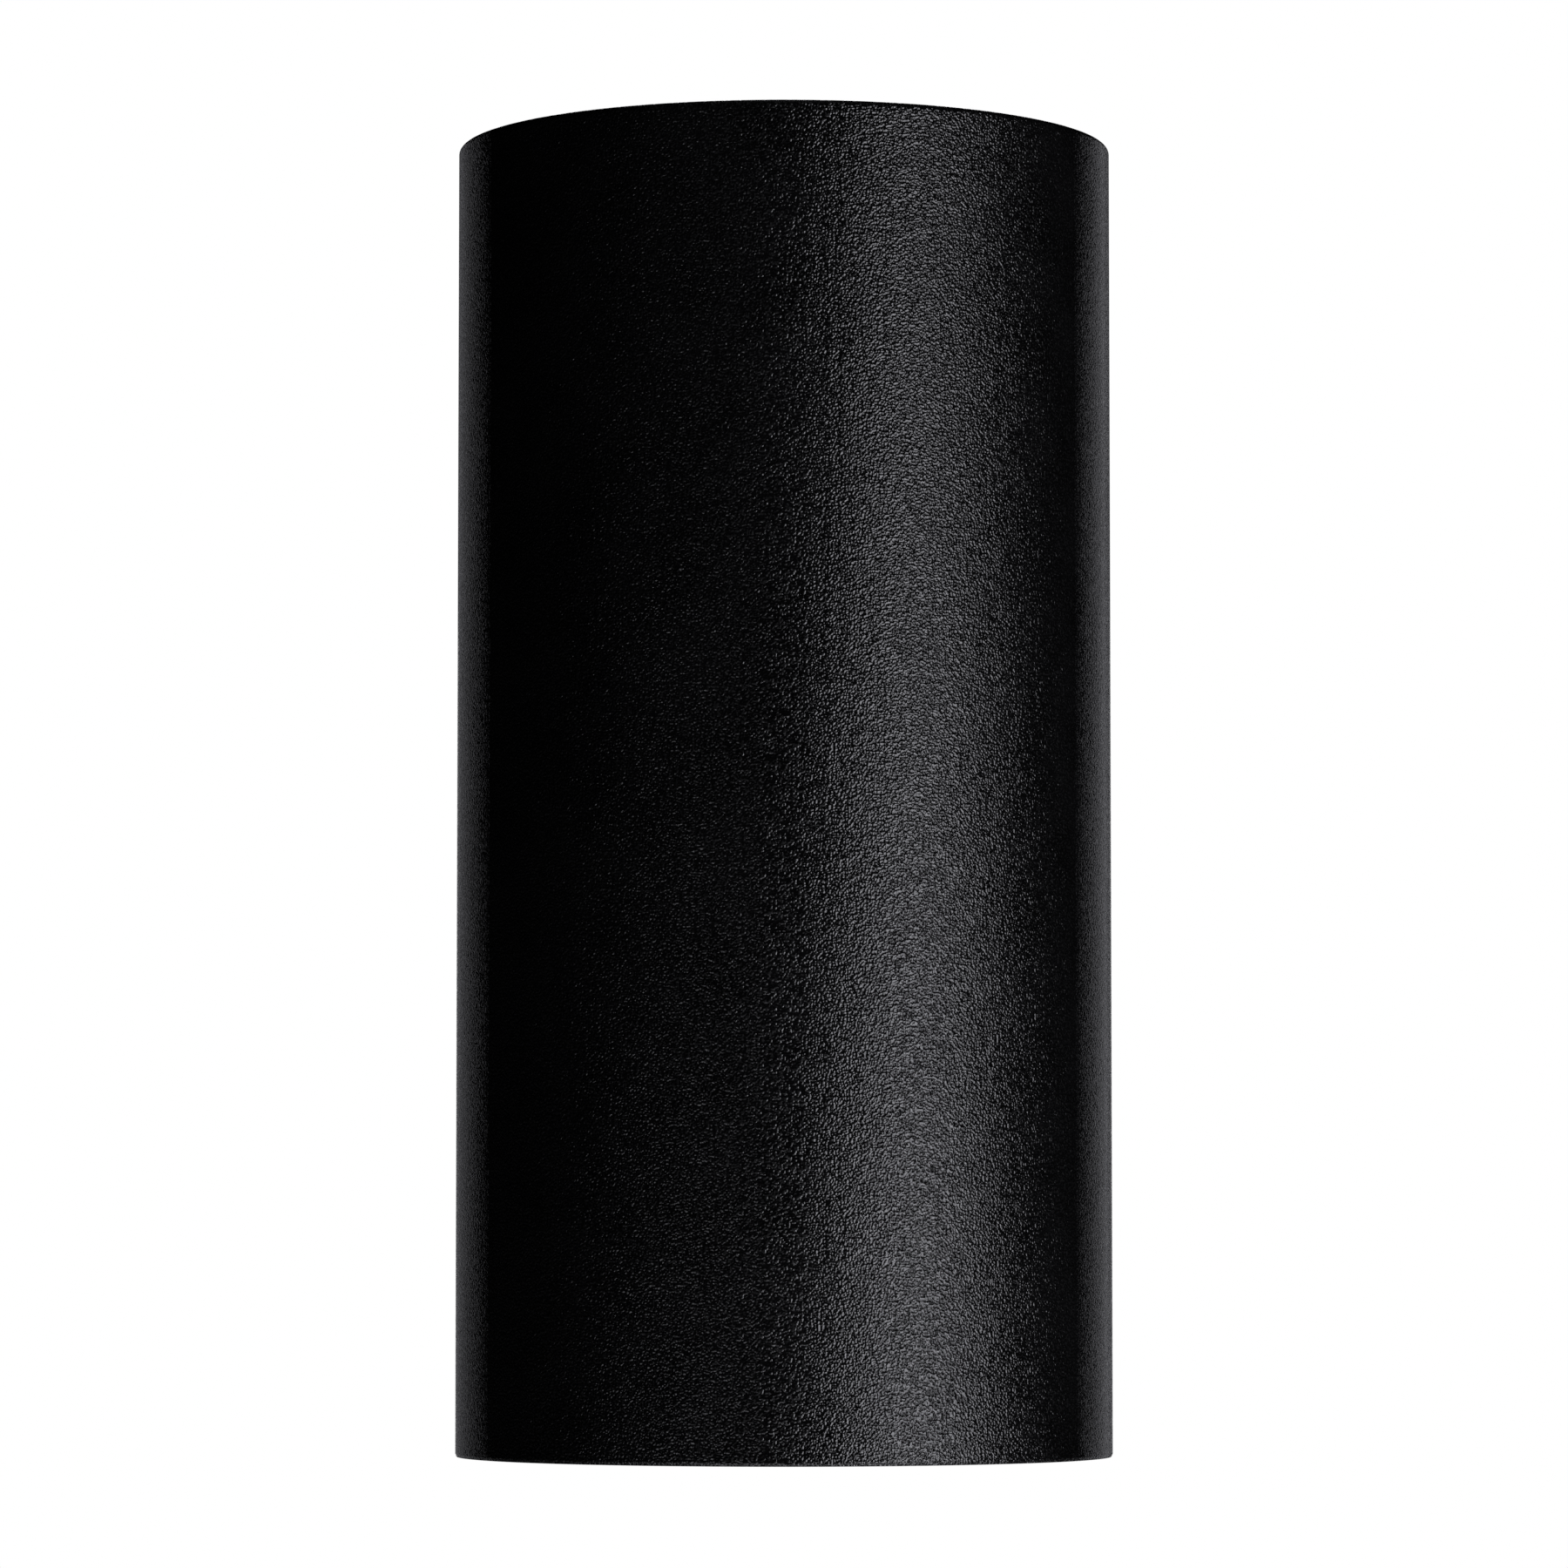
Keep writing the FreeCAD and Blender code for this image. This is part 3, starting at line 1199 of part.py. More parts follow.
def terminal_screws():
    made = body("terminal_screws", y=-tower_front + given.clamp_screw_sink, z=given.terminal_rise, turn=TO_ROOM)
    first = -given.pole_pitch * (POLE_COUNT - 1) / 2
    length = tower_front - given.clamp_screw_sink - clamp_setback - given.conductor_radius - given.slide_gap
    shanks = sketch(made, "shank_outlines")
    slots = sketch(made, "slot_outlines")
    half = given.slot_width / 2
    reach = given.clamp_screw_radius + given.slide_gap
    for y in (given.tower_offset, -given.tower_offset):
        circle(shanks, first, y, given.clamp_screw_radius)
        rectangle(slots, first - reach, first + reach, y - half, y + half)
    stems = pad(made, "stems", shanks, length, backwards=True)
    cuts = pocket(made, "slots", slots, given.slot_depth)
    span = given.pole_pitch * (POLE_COUNT - 1)
    repeat_along(made, "screws", [stems, cuts], "X", span, POLE_COUNT)


def terminal_fixings():
    made = body("terminal_fixings", y=-terminal_front, z=given.terminal_rise, turn=TO_ROOM)
    one = screw(
        made, given.pole_pitch / 2, 0, given.small_screw_radius, given.terminal_depth + given.plate_thickness,
        given.small_head_radius, given.small_head_height,
    )
    mirror(made, one, "YZ_Plane")


def rounded_path(points):
    # straight runs joined by tangent arcs, each as large as its two runs allow
    edges = []
    radii = []
    start = points[0]
    for before, corner, after in zip(points, points[1:], points[2:]):
        arriving = corner - before
        leaving = after - corner
        half_turn = arriving.getAngle(leaving) / 2
        setback = given.bend_share.value * min(arriving.Length, leaving.Length)
        radii.append(setback / math.tan(half_turn))
        arriving.normalize()
        leaving.normalize()
        arc_start = corner - arriving * setback
        arc_end = corner + leaving * setback
        bisector = (leaving - arriving).normalize()
        middle = corner + bisector * (radii[-1] / math.cos(half_turn) - radii[-1])
        edges.append(Part.LineSegment(start, arc_start).toShape())
        edges.append(Part.Arc(arc_start, middle, arc_end).toShape())
        start = arc_end
    edges.append(Part.LineSegment(start, points[-1]).toShape())
    return Part.Wire(edges), radii


def lead(name, route):
    # an insulated lead along its route, with a bare end in the last direction
    points = [FreeCAD.Vector(*(as_size(number).value for number in place)) for place in route]
    path, radii = rounded_path(points)
    first_edge = path.Edges[0]
    profile = Part.Wire(Part.Circle(points[0], first_edge.tangentAt(0), given.lead_radius.value).toShape())
    insulated = path.makePipeShell([profile], True, False)
    last = (points[-1] - points[-2]).normalize()
    bare = Part.makeCylinder(given.conductor_radius.value, given.conductor_length.value, points[-1], last)
    made = document.addObject("Part::Feature", name)
    made.Label = name
    made.Shape = insulated.fuse(bare).removeSplitter()
    made.Placement = FreeCAD.Placement()
    pieces.append(made)
    expected = math.pi * given.lead_radius.value ** 2 * path.Length
    print(
        f"{name}: length {path.Length:.1f}, least bend {min(radii):.1f}, "
        f"volume over section times length {insulated.Volume / expected:.4f}"
    )


def box_end(side):
    # the stretch that all three leads share: through the grommet and down into a clamp
    pole = side * given.pole_pitch
    route = [(side * given.lead_pitch, -clamp_setback, lead_height)]
    if side:
        turn = terminal_entry + (lead_height - terminal_entry) * given.lead_turn_share
        route.append((pole, -clamp_setback, turn))
    return route + [(pole, -clamp_setback, terminal_entry)]


def leads():
    for name, side in (("live_lead", -1), ("neutral_lead", 1)):
        start_y = side * given.pin_circle - axis_setback
        lead(name, [
            (0, start_y, holder_back),
            (0, start_y, strap_back + given.lead_rise),
            (side * given.lead_pitch, start_y + given.lead_turn_setback * (2 - side), lead_height),
        ] + box_end(side))
    barrel_end = given.earth_boss_setback - given.tag_radius - given.tag_tongue - given.barrel_length
    start_y = barrel_end + given.barrel_length - axis_setback
    barrel_height = boss_face - given.barrel_radius
    front = barrel_end - given.earth_loop_reach - axis_setback
    lead("earth_lead", [
        (0, start_y, barrel_height),
        (0, front, barrel_height),
        (0, front - given.lead_pitch, barrel_height - given.earth_loop_drop),
        (0, front + given.earth_loop_reach / 2, lead_height),
    ] + box_end(0))


for build_piece in (
    wall_gasket, wall_plate, cable_grommet, plate_earth_washer, plate_earth_screw,
    terminal_block, terminal_clamps, terminal_screws, terminal_fixings,
    wall_box, fixing_screws, saddle_gasket, saddle_screws, lead_grommet,
    lamp_housing, lens_seat, holder_bracket, bracket_screws, earth_tag, earth_screw,
    lampholder, holder_contacts, holder_cover, holder_screws, holder_nuts, leads,
    lamp_shell, lamp_optic, led_board, led_chips, driver_board, lamp_cap, lamp_pins,
    front_glass, glass_gasket, front_ring,
):
    build_piece()
document.recompute()

for thing in document.Objects:
    if "Invalid" in thing.State or "Error" in thing.State:
        raise RuntimeError(f"{thing.Label} did not build: {thing.State}")
os.makedirs("parts", exist_ok=True)
for piece in pieces:
    shape = piece.Shape
    if shape.isNull() or not shape.isValid() or not shape.Solids:
        raise RuntimeError(f"{piece.Label} has no valid solid")
    shape.exportStep(f"parts/{piece.Label}.step")
    print(f"{piece.Label}: {len(shape.Solids)} solid(s), {shape.Volume:.1f} mm3")
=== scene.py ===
import json
import math

import bpy
import numpy as np
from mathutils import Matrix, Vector


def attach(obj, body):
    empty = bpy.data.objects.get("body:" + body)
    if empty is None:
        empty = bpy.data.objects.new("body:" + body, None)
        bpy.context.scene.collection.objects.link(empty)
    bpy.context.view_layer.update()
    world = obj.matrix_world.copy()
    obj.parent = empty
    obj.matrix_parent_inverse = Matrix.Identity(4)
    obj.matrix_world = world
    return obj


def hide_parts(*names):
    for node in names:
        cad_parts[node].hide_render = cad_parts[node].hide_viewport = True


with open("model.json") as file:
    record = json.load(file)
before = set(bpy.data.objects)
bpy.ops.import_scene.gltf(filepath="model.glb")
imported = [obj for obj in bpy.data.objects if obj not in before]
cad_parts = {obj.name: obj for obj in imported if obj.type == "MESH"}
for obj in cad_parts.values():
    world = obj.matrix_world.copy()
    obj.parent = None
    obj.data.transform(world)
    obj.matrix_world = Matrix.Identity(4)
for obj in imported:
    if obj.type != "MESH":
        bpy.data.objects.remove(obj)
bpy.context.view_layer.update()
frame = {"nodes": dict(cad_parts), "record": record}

# A round black wall spotlight. Lengths are in metres, angles in degrees, and names tell the piece
# that a value is for.
scene = bpy.context.scene
mm = 0.001
axisY = -62.5 * mm
axis = (0.0, axisY)  # the can's upright axis
print("frame loaded,", len(frame["nodes"]), "nodes")


cameraValues = {
    "place": (0.0, -0.8455, -0.0503),
    "pitch": 3.812,  # tilted up
    "lens": 156.82,
    "sensor": 36.0,
    "clip": (0.01, 100),
}


def makeCamera(values):
    data = bpy.data.cameras.new("camera")
    data.lens, data.sensor_width = values["lens"], values["sensor"]
    data.clip_start, data.clip_end = values["clip"]
    camera = bpy.data.objects.new("camera", data)
    camera.location = values["place"]
    camera.rotation_euler = (math.radians(90 + values["pitch"]), 0, 0)  # at 90 it looks level
    scene.collection.objects.link(camera)
    scene.camera = camera


makeCamera(cameraValues)
scene.view_settings.view_transform = "Standard"

# each light stands round the can: azimuth to the right of the camera, elevation, distance, width,
# height, watts
lightValues = {
    "rightSoftbox": (47, -12.5, 1.3, 0.62, 0.86, 10.9),
    "leftSoftbox": (-36, -29, 1.3, 0.2, 0.35, 0.45),
    "rightRim": (157, -8, 1.4, 0.4, 1.2, 0.65),
    "leftRim": (-160, -8, 1.4, 0.5, 1.2, 0.4),
    "topSoftbox": (0, 80, 1.3, 0.8, 0.8, 0.3),
    "underCard": (10, -50, 0.9, 1.8, 0.25, 3.0),  # seen in the mouth's bevel
    "mouthLight": (180, -75, 1.0, 0.6, 0.6, 1.2),  # from below, into the mouth
    "wallSide": (180, 8, 1.8, 0.3, 1.2, 2.5),
}
lightColour = (0.98, 0.98, 1.05)  # a little cool, as in the photograph


def makeLight(name, azimuth, elevation, distance, width, height, watts):
    side, up = math.radians(azimuth), math.radians(elevation)
    away = Vector((math.sin(side) * math.cos(up), -math.cos(side) * math.cos(up), math.sin(up)))
    data = bpy.data.lights.new(name, "AREA")
    data.shape, data.size, data.size_y, data.energy = "RECTANGLE", width, height, watts
    data.color = lightColour
    light = bpy.data.objects.new(name, data)
    light.location = Vector((*axis, 0)) + away * distance
    light.rotation_mode = "QUATERNION"
    light.rotation_quaternion = away.to_track_quat("Z", "Y")
    light.visible_camera = False
    scene.collection.objects.link(light)


for name, values in lightValues.items():
    makeLight(name, *values)


def addNode(tree, kind, inputs=None, **settings):
    # a node with its settings; an input is a number, a colour or another node's output
    node = tree.nodes.new("ShaderNode" + kind)
    for key, value in settings.items():
        setattr(node, key, value)
    for key, value in (inputs or {}).items():
        if isinstance(value, bpy.types.NodeSocket):
            tree.links.new(value, node.inputs[key])
        else:
            node.inputs[key].default_value = value
    return node


def maths(tree, operation, first, second=0.0):
    return addNode(tree, "Math", {0: first, 1: second}, operation=operation).outputs[0]


def whitePath(tree, gloss=1.0):
    # 1 where the camera, gloss or glass looks straight at the background
    path = addNode(tree, "LightPath")
    glossy = maths(tree, "MULTIPLY", path.outputs["Is Glossy Ray"], gloss)
    seen = maths(tree, "MAXIMUM", path.outputs["Is Camera Ray"], glossy)
    return maths(tree, "MAXIMUM", seen, path.outputs["Is Transmission Ray"])


stageValues = {
    "roomGloss": 0.0,  # how much of the white room a glossy surface sees beside the backdrop
    "roomLight": 0.0005,  # even light from all round
    "floorHeight": -1.0,
    "floorSize": 60.0,
    "floorColour": (0.86, 0.86, 0.86, 1),
    "floorGlow": 0.95,
    "floorGloss": 0.004,  # how much of the floor's glow a glossy surface sees
    "backdropPlace": (0, 2.6, -0.14),
    "backdropSize": 0.8,
    "backdropGlow": 1.0,
    "backdropGloss": 1.0,
}


def makeRoom(values):
    world = bpy.data.worlds.new("room")
    world.use_nodes = True
    scene.world = world
    tree = world.node_tree
    background = tree.nodes["Background"]
    background.inputs["Color"].default_value = (1, 1, 1, 1)
    strength = maths(tree, "MAXIMUM", whitePath(tree, values["roomGloss"]), values["roomLight"])
    tree.links.new(strength, background.inputs["Strength"])


def makeSheet(name, place, size, upright, colour, glow, gloss, shadowed):
    # A flat square, x = u, y or z = v, with a white that the camera, gloss and glass see. A
    # shadowed one adds its glow to the light that falls on it.
    ends = [-size / 2, size / 2]
    u, v = (side.ravel() for side in np.meshgrid(ends, ends))
    zero = np.zeros_like(u)
    points = np.stack([u, zero, v] if upright else [u, v, zero], axis=1) + place
    mesh = bpy.data.meshes.new(name)
    mesh.from_pydata(points.tolist(), [], [(0, 1, 3, 2)])
    sheet = bpy.data.objects.new(name, mesh)
    scene.collection.objects.link(sheet)
    material = bpy.data.materials.new(name)
    material.use_nodes = True
    tree = material.node_tree
    tree.nodes.clear()
    paper = addNode(tree, "BsdfDiffuse", {"Color": colour}).outputs[0]
    strength = maths(tree, "MULTIPLY", whitePath(tree, gloss), glow)
    shine = addNode(tree, "Emission", {"Strength": strength}).outputs[0]
    if shadowed:
        surface = addNode(tree, "AddShader", {0: paper, 1: shine}).outputs[0]
    else:
        surface = addNode(tree, "MixShader", {0: whitePath(tree), 1: paper, 2: shine}).outputs[0]
    addNode(tree, "OutputMaterial", {"Surface": surface})
    mesh.materials.append(material)


makeRoom(stageValues)
makeSheet(
    "floor", (0, 0, stageValues["floorHeight"]), stageValues["floorSize"], upright=False,
    colour=stageValues["floorColour"], glow=stageValues["floorGlow"],
    gloss=stageValues["floorGloss"], shadowed=True,
)
makeSheet(
    "backdrop", stageValues["backdropPlace"], stageValues["backdropSize"], upright=True,
    colour=stageValues["floorColour"], glow=stageValues["backdropGlow"],
    gloss=stageValues["backdropGloss"], shadowed=False,
)
print("camera, lights, floor and backdrop made")


# surface effects, each a node group that materials share

noiseValues = {  # scale against the effect's own size, and detail
    "hills": {"Scale": 1.0, "Detail": 0.0},
    "mottle": {"Scale": 0.03, "Detail": 2.0},
    "lines": {"Scale": 1.0, "Detail": 4.0, "Roughness": 0.65},
    "stain": {"Scale": 0.012, "Detail": 3.0},
    "skin": {"Scale": 1.0, "Detail": 3.0, "Roughness": 0.55},
    "skinTone": {"Scale": 0.04, "Detail": 2.0},
}
softRange = (0.35, 0.65)  # most of a soft noise lies between these
lineRange = (0.3, 0.7)


def newGroup(name, inputs, outputs):
    # inputs: label, kind of socket, default value
    tree = bpy.data.node_groups.new(name, "ShaderNodeTree")
    for label, kind, value in [("Vector", "Vector", None)] + inputs:
        kind = "NodeSocket" + kind
        socket = tree.interface.new_socket(name=label, in_out="INPUT", socket_type=kind)
        if value is not None:
            socket.default_value = value
    for label in outputs:
        tree.interface.new_socket(name=label, in_out="OUTPUT", socket_type="NodeSocketFloat")
    return tree, tree.nodes.new("NodeGroupInput").outputs, tree.nodes.new("NodeGroupOutput").inputs


def shrunk(tree, vector, size):
    # the place measured in sizes
    inputs = {"Vector": vector, "Scale": maths(tree, "DIVIDE", 1.0, size)}
    return addNode(tree, "VectorMath", inputs, operation="SCALE").outputs[0]


def noise(tree, place, name):
    return addNode(tree, "TexNoise", {"Vector": place, **noiseValues[name]}).outputs["Fac"]


def spread(tree, value, limits):
    # 0 at the first limit, 1 at the second
    inputs = {"Value": value, "From Min": limits[0], "From Max": limits[1]}
    return addNode(tree, "MapRange", inputs).outputs[0]


def between(tree, share, low, high):
    # low where the share is 0, high where it is 1
    inputs = {"Value": share, "To Min": low, "To Max": high}
    return addNode(tree, "MapRange", inputs).outputs[0]


def mixed(tree, share, first, second):
    # colours: each a triple or another node's output
    first, second = (
        (*colour, 1) if isinstance(colour, tuple) else colour for colour in (first, second)
    )
    return addNode(tree, "MixRGB", {0: share, 1: first, 2: second}).outputs[0]


def makePowderGrain():
    # Height = noise of one size, round little hills
    # Hill = 1 on their tops, 0 in the dips
    # Mottle = slow change of tone
    tree, given, out = newGroup(
        "powderGrain", [("Grain Size", "Float", 0.3 * mm)], ["Height", "Hill", "Mottle"],
    )
    place = shrunk(tree, given["Vector"], given["Grain Size"])
    hills = noise(tree, place, "hills")
    tree.links.new(hills, out["Height"])
    tree.links.new(spread(tree, hills, softRange), out["Hill"])
    tree.links.new(spread(tree, noise(tree, place, "mottle"), softRange), out["Mottle"])
    return tree


def makeBrushed():
    # Height = lines, a noise stretched along one axis
    # Tone = the same lines, from 0 to 1
    # Stain = slow change of tone
    tree, given, out = newGroup(
        "brushed", [("Line Width", "Float", 0.08 * mm), ("Stretch", "Vector", (1, 1, 0.03))],
        ["Height", "Tone", "Stain"],
    )
    place = shrunk(tree, given["Vector"], given["Line Width"])
    along = addNode(tree, "VectorMath", {0: place, 1: given["Stretch"]}, operation="MULTIPLY")
    lines = noise(tree, along.outputs[0], "lines")
    tree.links.new(lines, out["Height"])
    tree.links.new(spread(tree, lines, lineRange), out["Tone"])
    tree.links.new(spread(tree, noise(tree, place, "stain"), softRange), out["Stain"])
    return tree


def makeMouldSkin():
    # Height = fine noise of moulded or cast stuff
    # Tone = slow change of tone
    tree, given, out = newGroup(
        "mouldSkin", [("Skin Size", "Float", 0.25 * mm)], ["Height", "Tone"],
    )
    place = shrunk(tree, given["Vector"], given["Skin Size"])
    tree.links.new(noise(tree, place, "skin"), out["Height"])
    tree.links.new(spread(tree, noise(tree, place, "skinTone"), softRange), out["Tone"])
    return tree


groups = {"powderGrain": makePowderGrain(), "brushed": makeBrushed(), "mouldSkin": makeMouldSkin()}


# Finishes: the group and its inputs, which of its outputs drives tone, roughness and shine and
# between what, strength and height of the bump, and the shader's own plain values.

insulation = {
    "group": ("mouldSkin", {"Skin Size": 0.15 * mm}),
    "rough": ("Height", 0.5, 0.64),
    "bump": (0.2, 0.01 * mm),
    "plain": {},
}
finishValues = {
    "blackPaint": {
        "group": ("powderGrain", {"Grain Size": 0.24 * mm}),
        "tone": ("Mottle", (0.002, 0.002, 0.0021), (0.0034, 0.0034, 0.0036)),
        "rough": ("Hill", 0.08, 0.32),
        "shine": ("Hill", 0.25, 0.75),
        "bump": (1.0, 0.12 * mm),
        "plain": {"IOR": 1.5},
    },
    "blackAnodised": {
        "group": ("brushed", {"Line Width": 0.06 * mm, "Stretch": (0.3, 0.3, 1)}),
        "tone": ("Tone", (0.012, 0.012, 0.013), (0.022, 0.022, 0.024)),
        "rough": ("Tone", 0.3, 0.42),
        "bump": (0.25, 0.01 * mm),
        "plain": {"Metallic": 0.85},
    },
    "zincSteel": {
        "group": ("brushed", {"Line Width": 0.12 * mm, "Stretch": (1, 1, 0.05)}),
        "tone": ("Stain", (0.5, 0.51, 0.53), (0.68, 0.69, 0.7)),
        "rough": ("Tone", 0.26, 0.42),
        "bump": (0.2, 0.01 * mm),
        "plain": {"Metallic": 1.0},
    },
    "screwSteel": {
        "group": ("brushed", {"Line Width": 0.05 * mm, "Stretch": (1, 0.1, 1)}),
        "tone": ("Stain", (0.58, 0.59, 0.6), (0.72, 0.73, 0.74)),
        "rough": ("Tone", 0.2, 0.32),
        "bump": (0.15, 0.006 * mm),
        "plain": {"Metallic": 1.0},
    },
    "blackSteel": {
        "group": ("brushed", {"Line Width": 0.07 * mm, "Stretch": (1, 0.4, 0.4)}),
        "tone": ("Stain", (0.014, 0.014, 0.015), (0.03, 0.03, 0.032)),
        "rough": ("Tone", 0.3, 0.45),
        "bump": (0.2, 0.008 * mm),
        "plain": {"Metallic": 0.6},
    },
    "blackRubber": {
        "group": ("mouldSkin", {"Skin Size": 0.3 * mm}),
        "tone": ("Tone", (0.022, 0.022, 0.023), (0.04, 0.04, 0.042)),
        "rough": ("Height", 0.7, 0.88),
        "bump": (0.6, 0.03 * mm),
        "plain": {"Sheen Weight": 0.1},
    },
    "clearSilicone": {
        "group": ("mouldSkin", {"Skin Size": 0.4 * mm}),
        "tone": ("Tone", (0.7, 0.72, 0.71), (0.8, 0.82, 0.81)),
        "rough": ("Height", 0.35, 0.5),
        "bump": (0.2, 0.01 * mm),
        "plain": {"Transmission Weight": 0.4, "IOR": 1.41},
    },
    "clearGlass": {
        "group": ("mouldSkin", {"Skin Size": 4 * mm}),
        "tone": ("Tone", (0.94, 0.97, 0.96), (0.97, 0.99, 0.98)),
        "rough": ("Tone", 0.0, 0.02),
        "bump": (0.03, 0.002 * mm),
        "plain": {"Transmission Weight": 1.0, "IOR": 1.5},
        "lampsPass": 0.9,
    },
    "whiteCeramic": {
        "group": ("mouldSkin", {"Skin Size": 0.35 * mm}),
        "tone": ("Tone", (0.74, 0.71, 0.65), (0.84, 0.82, 0.77)),
        "rough": ("Height", 0.45, 0.65),
        "bump": (0.4, 0.02 * mm),
        "plain": {},
    },
    "brass": {
        "group": ("brushed", {"Line Width": 0.08 * mm, "Stretch": (1, 1, 0.06)}),
        "tone": ("Stain", (0.6, 0.42, 0.18), (0.78, 0.6, 0.32)),
        "rough": ("Tone", 0.22, 0.36),
        "bump": (0.15, 0.008 * mm),
        "plain": {"Metallic": 1.0},
    },
    "tinnedBrass": {
        "group": ("brushed", {"Line Width": 0.1 * mm, "Stretch": (1, 0.1, 1)}),
        "tone": ("Stain", (0.62, 0.6, 0.56), (0.74, 0.73, 0.7)),
        "rough": ("Tone", 0.28, 0.42),
        "bump": (0.15, 0.008 * mm),
        "plain": {"Metallic": 1.0},
    },
    "palePlastic": {
        "group": ("mouldSkin", {"Skin Size": 0.2 * mm}),
        "tone": ("Tone", (0.78, 0.78, 0.74), (0.86, 0.86, 0.83)),
        "rough": ("Height", 0.38, 0.52),
        "bump": (0.2, 0.01 * mm),
        "plain": {},
    },
    "brownInsulation": {
        **insulation,
        "tone": ("Tone", (0.14, 0.05, 0.018), (0.22, 0.09, 0.035)),
    },
    "blueInsulation": {
        **insulation,
        "tone": ("Tone", (0.035, 0.15, 0.46), (0.06, 0.22, 0.58)),
    },
    "greenInsulation": {
        **insulation,
        "tone": ("Tone", (0.06, 0.3, 0.05), (0.09, 0.38, 0.07)),
        "stripe": (0.5 * mm, (0.75, 0.6, 0.04)),  # yellow sides: the lead runs in the plane x = 0
    },
    "whitePlastic": {
        "group": ("mouldSkin", {"Skin Size": 0.3 * mm}),
        "tone": ("Tone", (0.79, 0.79, 0.78), (0.86, 0.86, 0.85)),
        "rough": ("Height", 0.28, 0.4),
        "bump": (0.15, 0.008 * mm),
        "plain": {},
    },
    "clearPlastic": {
        "group": ("mouldSkin", {"Skin Size": 1.2 * mm}),
        "tone": ("Tone", (0.95, 0.96, 0.97), (0.98, 0.99, 0.99)),
        "rough": ("Tone", 0.01, 0.04),
        "bump": (0.05, 0.004 * mm),
        "plain": {"Transmission Weight": 1.0, "IOR": 1.49},
        "lampsPass": 0.85,
    },
    "whiteBoard": {
        "group": ("mouldSkin", {"Skin Size": 0.2 * mm}),
        "tone": ("Tone", (0.8, 0.81, 0.81), (0.87, 0.88, 0.88)),
        "rough": ("Height", 0.3, 0.42),
        "bump": (0.1, 0.005 * mm),
        "plain": {},
    },
    "yellowPhosphor": {
        "group": ("mouldSkin", {"Skin Size": 0.1 * mm}),
        "tone": ("Tone", (0.82, 0.6, 0.12), (0.92, 0.75, 0.22)),
        "rough": ("Height", 0.45, 0.6),
        "bump": (0.3, 0.01 * mm),
        "plain": {"Coat Weight": 0.6},
    },
    "greenBoard": {
        "group": ("mouldSkin", {"Skin Size": 0.3 * mm}),
        "tone": ("Tone", (0.04, 0.2, 0.06), (0.07, 0.3, 0.1)),
        "rough": ("Height", 0.3, 0.45),
        "bump": (0.2, 0.01 * mm),
        "plain": {},
        "stripe": (0.65 * mm, (0.02, 0.02, 0.022)),  # dark parts stand off the board's two faces
    },
    "nickelBrass": {
        "group": ("brushed", {"Line Width": 0.08 * mm, "Stretch": (1, 1, 0.08)}),
        "tone": ("Stain", (0.66, 0.63, 0.57), (0.78, 0.76, 0.71)),
        "rough": ("Tone", 0.14, 0.26),
        "bump": (0.1, 0.005 * mm),
        "plain": {"Metallic": 1.0},
    },
}


def makeFinish(name, values):
    material = bpy.data.materials.new(name)
    material.use_nodes = True
    tree = material.node_tree
    shader = tree.nodes["Principled BSDF"]
    place = addNode(tree, "TexCoord").outputs["Object"]
    groupName, groupInputs = values["group"]
    effect = addNode(tree, "Group", node_tree=groups[groupName])
    tree.links.new(place, effect.inputs["Vector"])
    for label, value in groupInputs.items():
        effect.inputs[label].default_value = value
    driver, dark, light = values["tone"]
    tone = mixed(tree, effect.outputs[driver], dark, light)
    if "stripe" in values:
        reach, colour = values["stripe"]
        across = maths(tree, "ABSOLUTE", addNode(tree, "SeparateXYZ", {0: place}).outputs[0])
        tone = mixed(tree, maths(tree, "GREATER_THAN", across, reach), tone, colour)
    tree.links.new(tone, shader.inputs["Base Color"])
    for key, label in (("rough", "Roughness"), ("shine", "Specular IOR Level")):
        if key in values:
            driver, low, high = values[key]
            ranged = between(tree, effect.outputs[driver], low, high)
            tree.links.new(ranged, shader.inputs[label])
    strength, distance = values["bump"]
    inputs = {"Strength": strength, "Distance": distance, "Height": effect.outputs["Height"]}
    tree.links.new(addNode(tree, "Bump", inputs).outputs[0], shader.inputs["Normal"])
    for label, value in values["plain"].items():
        shader.inputs[label].default_value = value
    if "lampsPass" in values:  # lamps shine through, as they do not through Cycles' glass alone
        share = values["lampsPass"]
        clear = addNode(tree, "BsdfTransparent", {"Color": (share, share, share, 1)}).outputs[0]
        shadow = addNode(tree, "LightPath").outputs["Is Shadow Ray"]
        mix = addNode(tree, "MixShader", {0: shadow, 1: shader.outputs[0], 2: clear}).outputs[0]
        tree.links.new(mix, tree.nodes["Material Output"].inputs["Surface"])
    return material


finishes = {name: makeFinish(name, values) for name, values in finishValues.items()}


def finishOf(slotName):
    # black_paint -> blackPaint
    first, *rest = slotName.split("_")
    return finishes[first + "".join(word.capitalize() for word in rest)]


print("finishes made:", len(finishes))


# surfaces worked out with numpy

nearlyOne = 0.999999
tiny = 1e-9  # lengths below this count as none


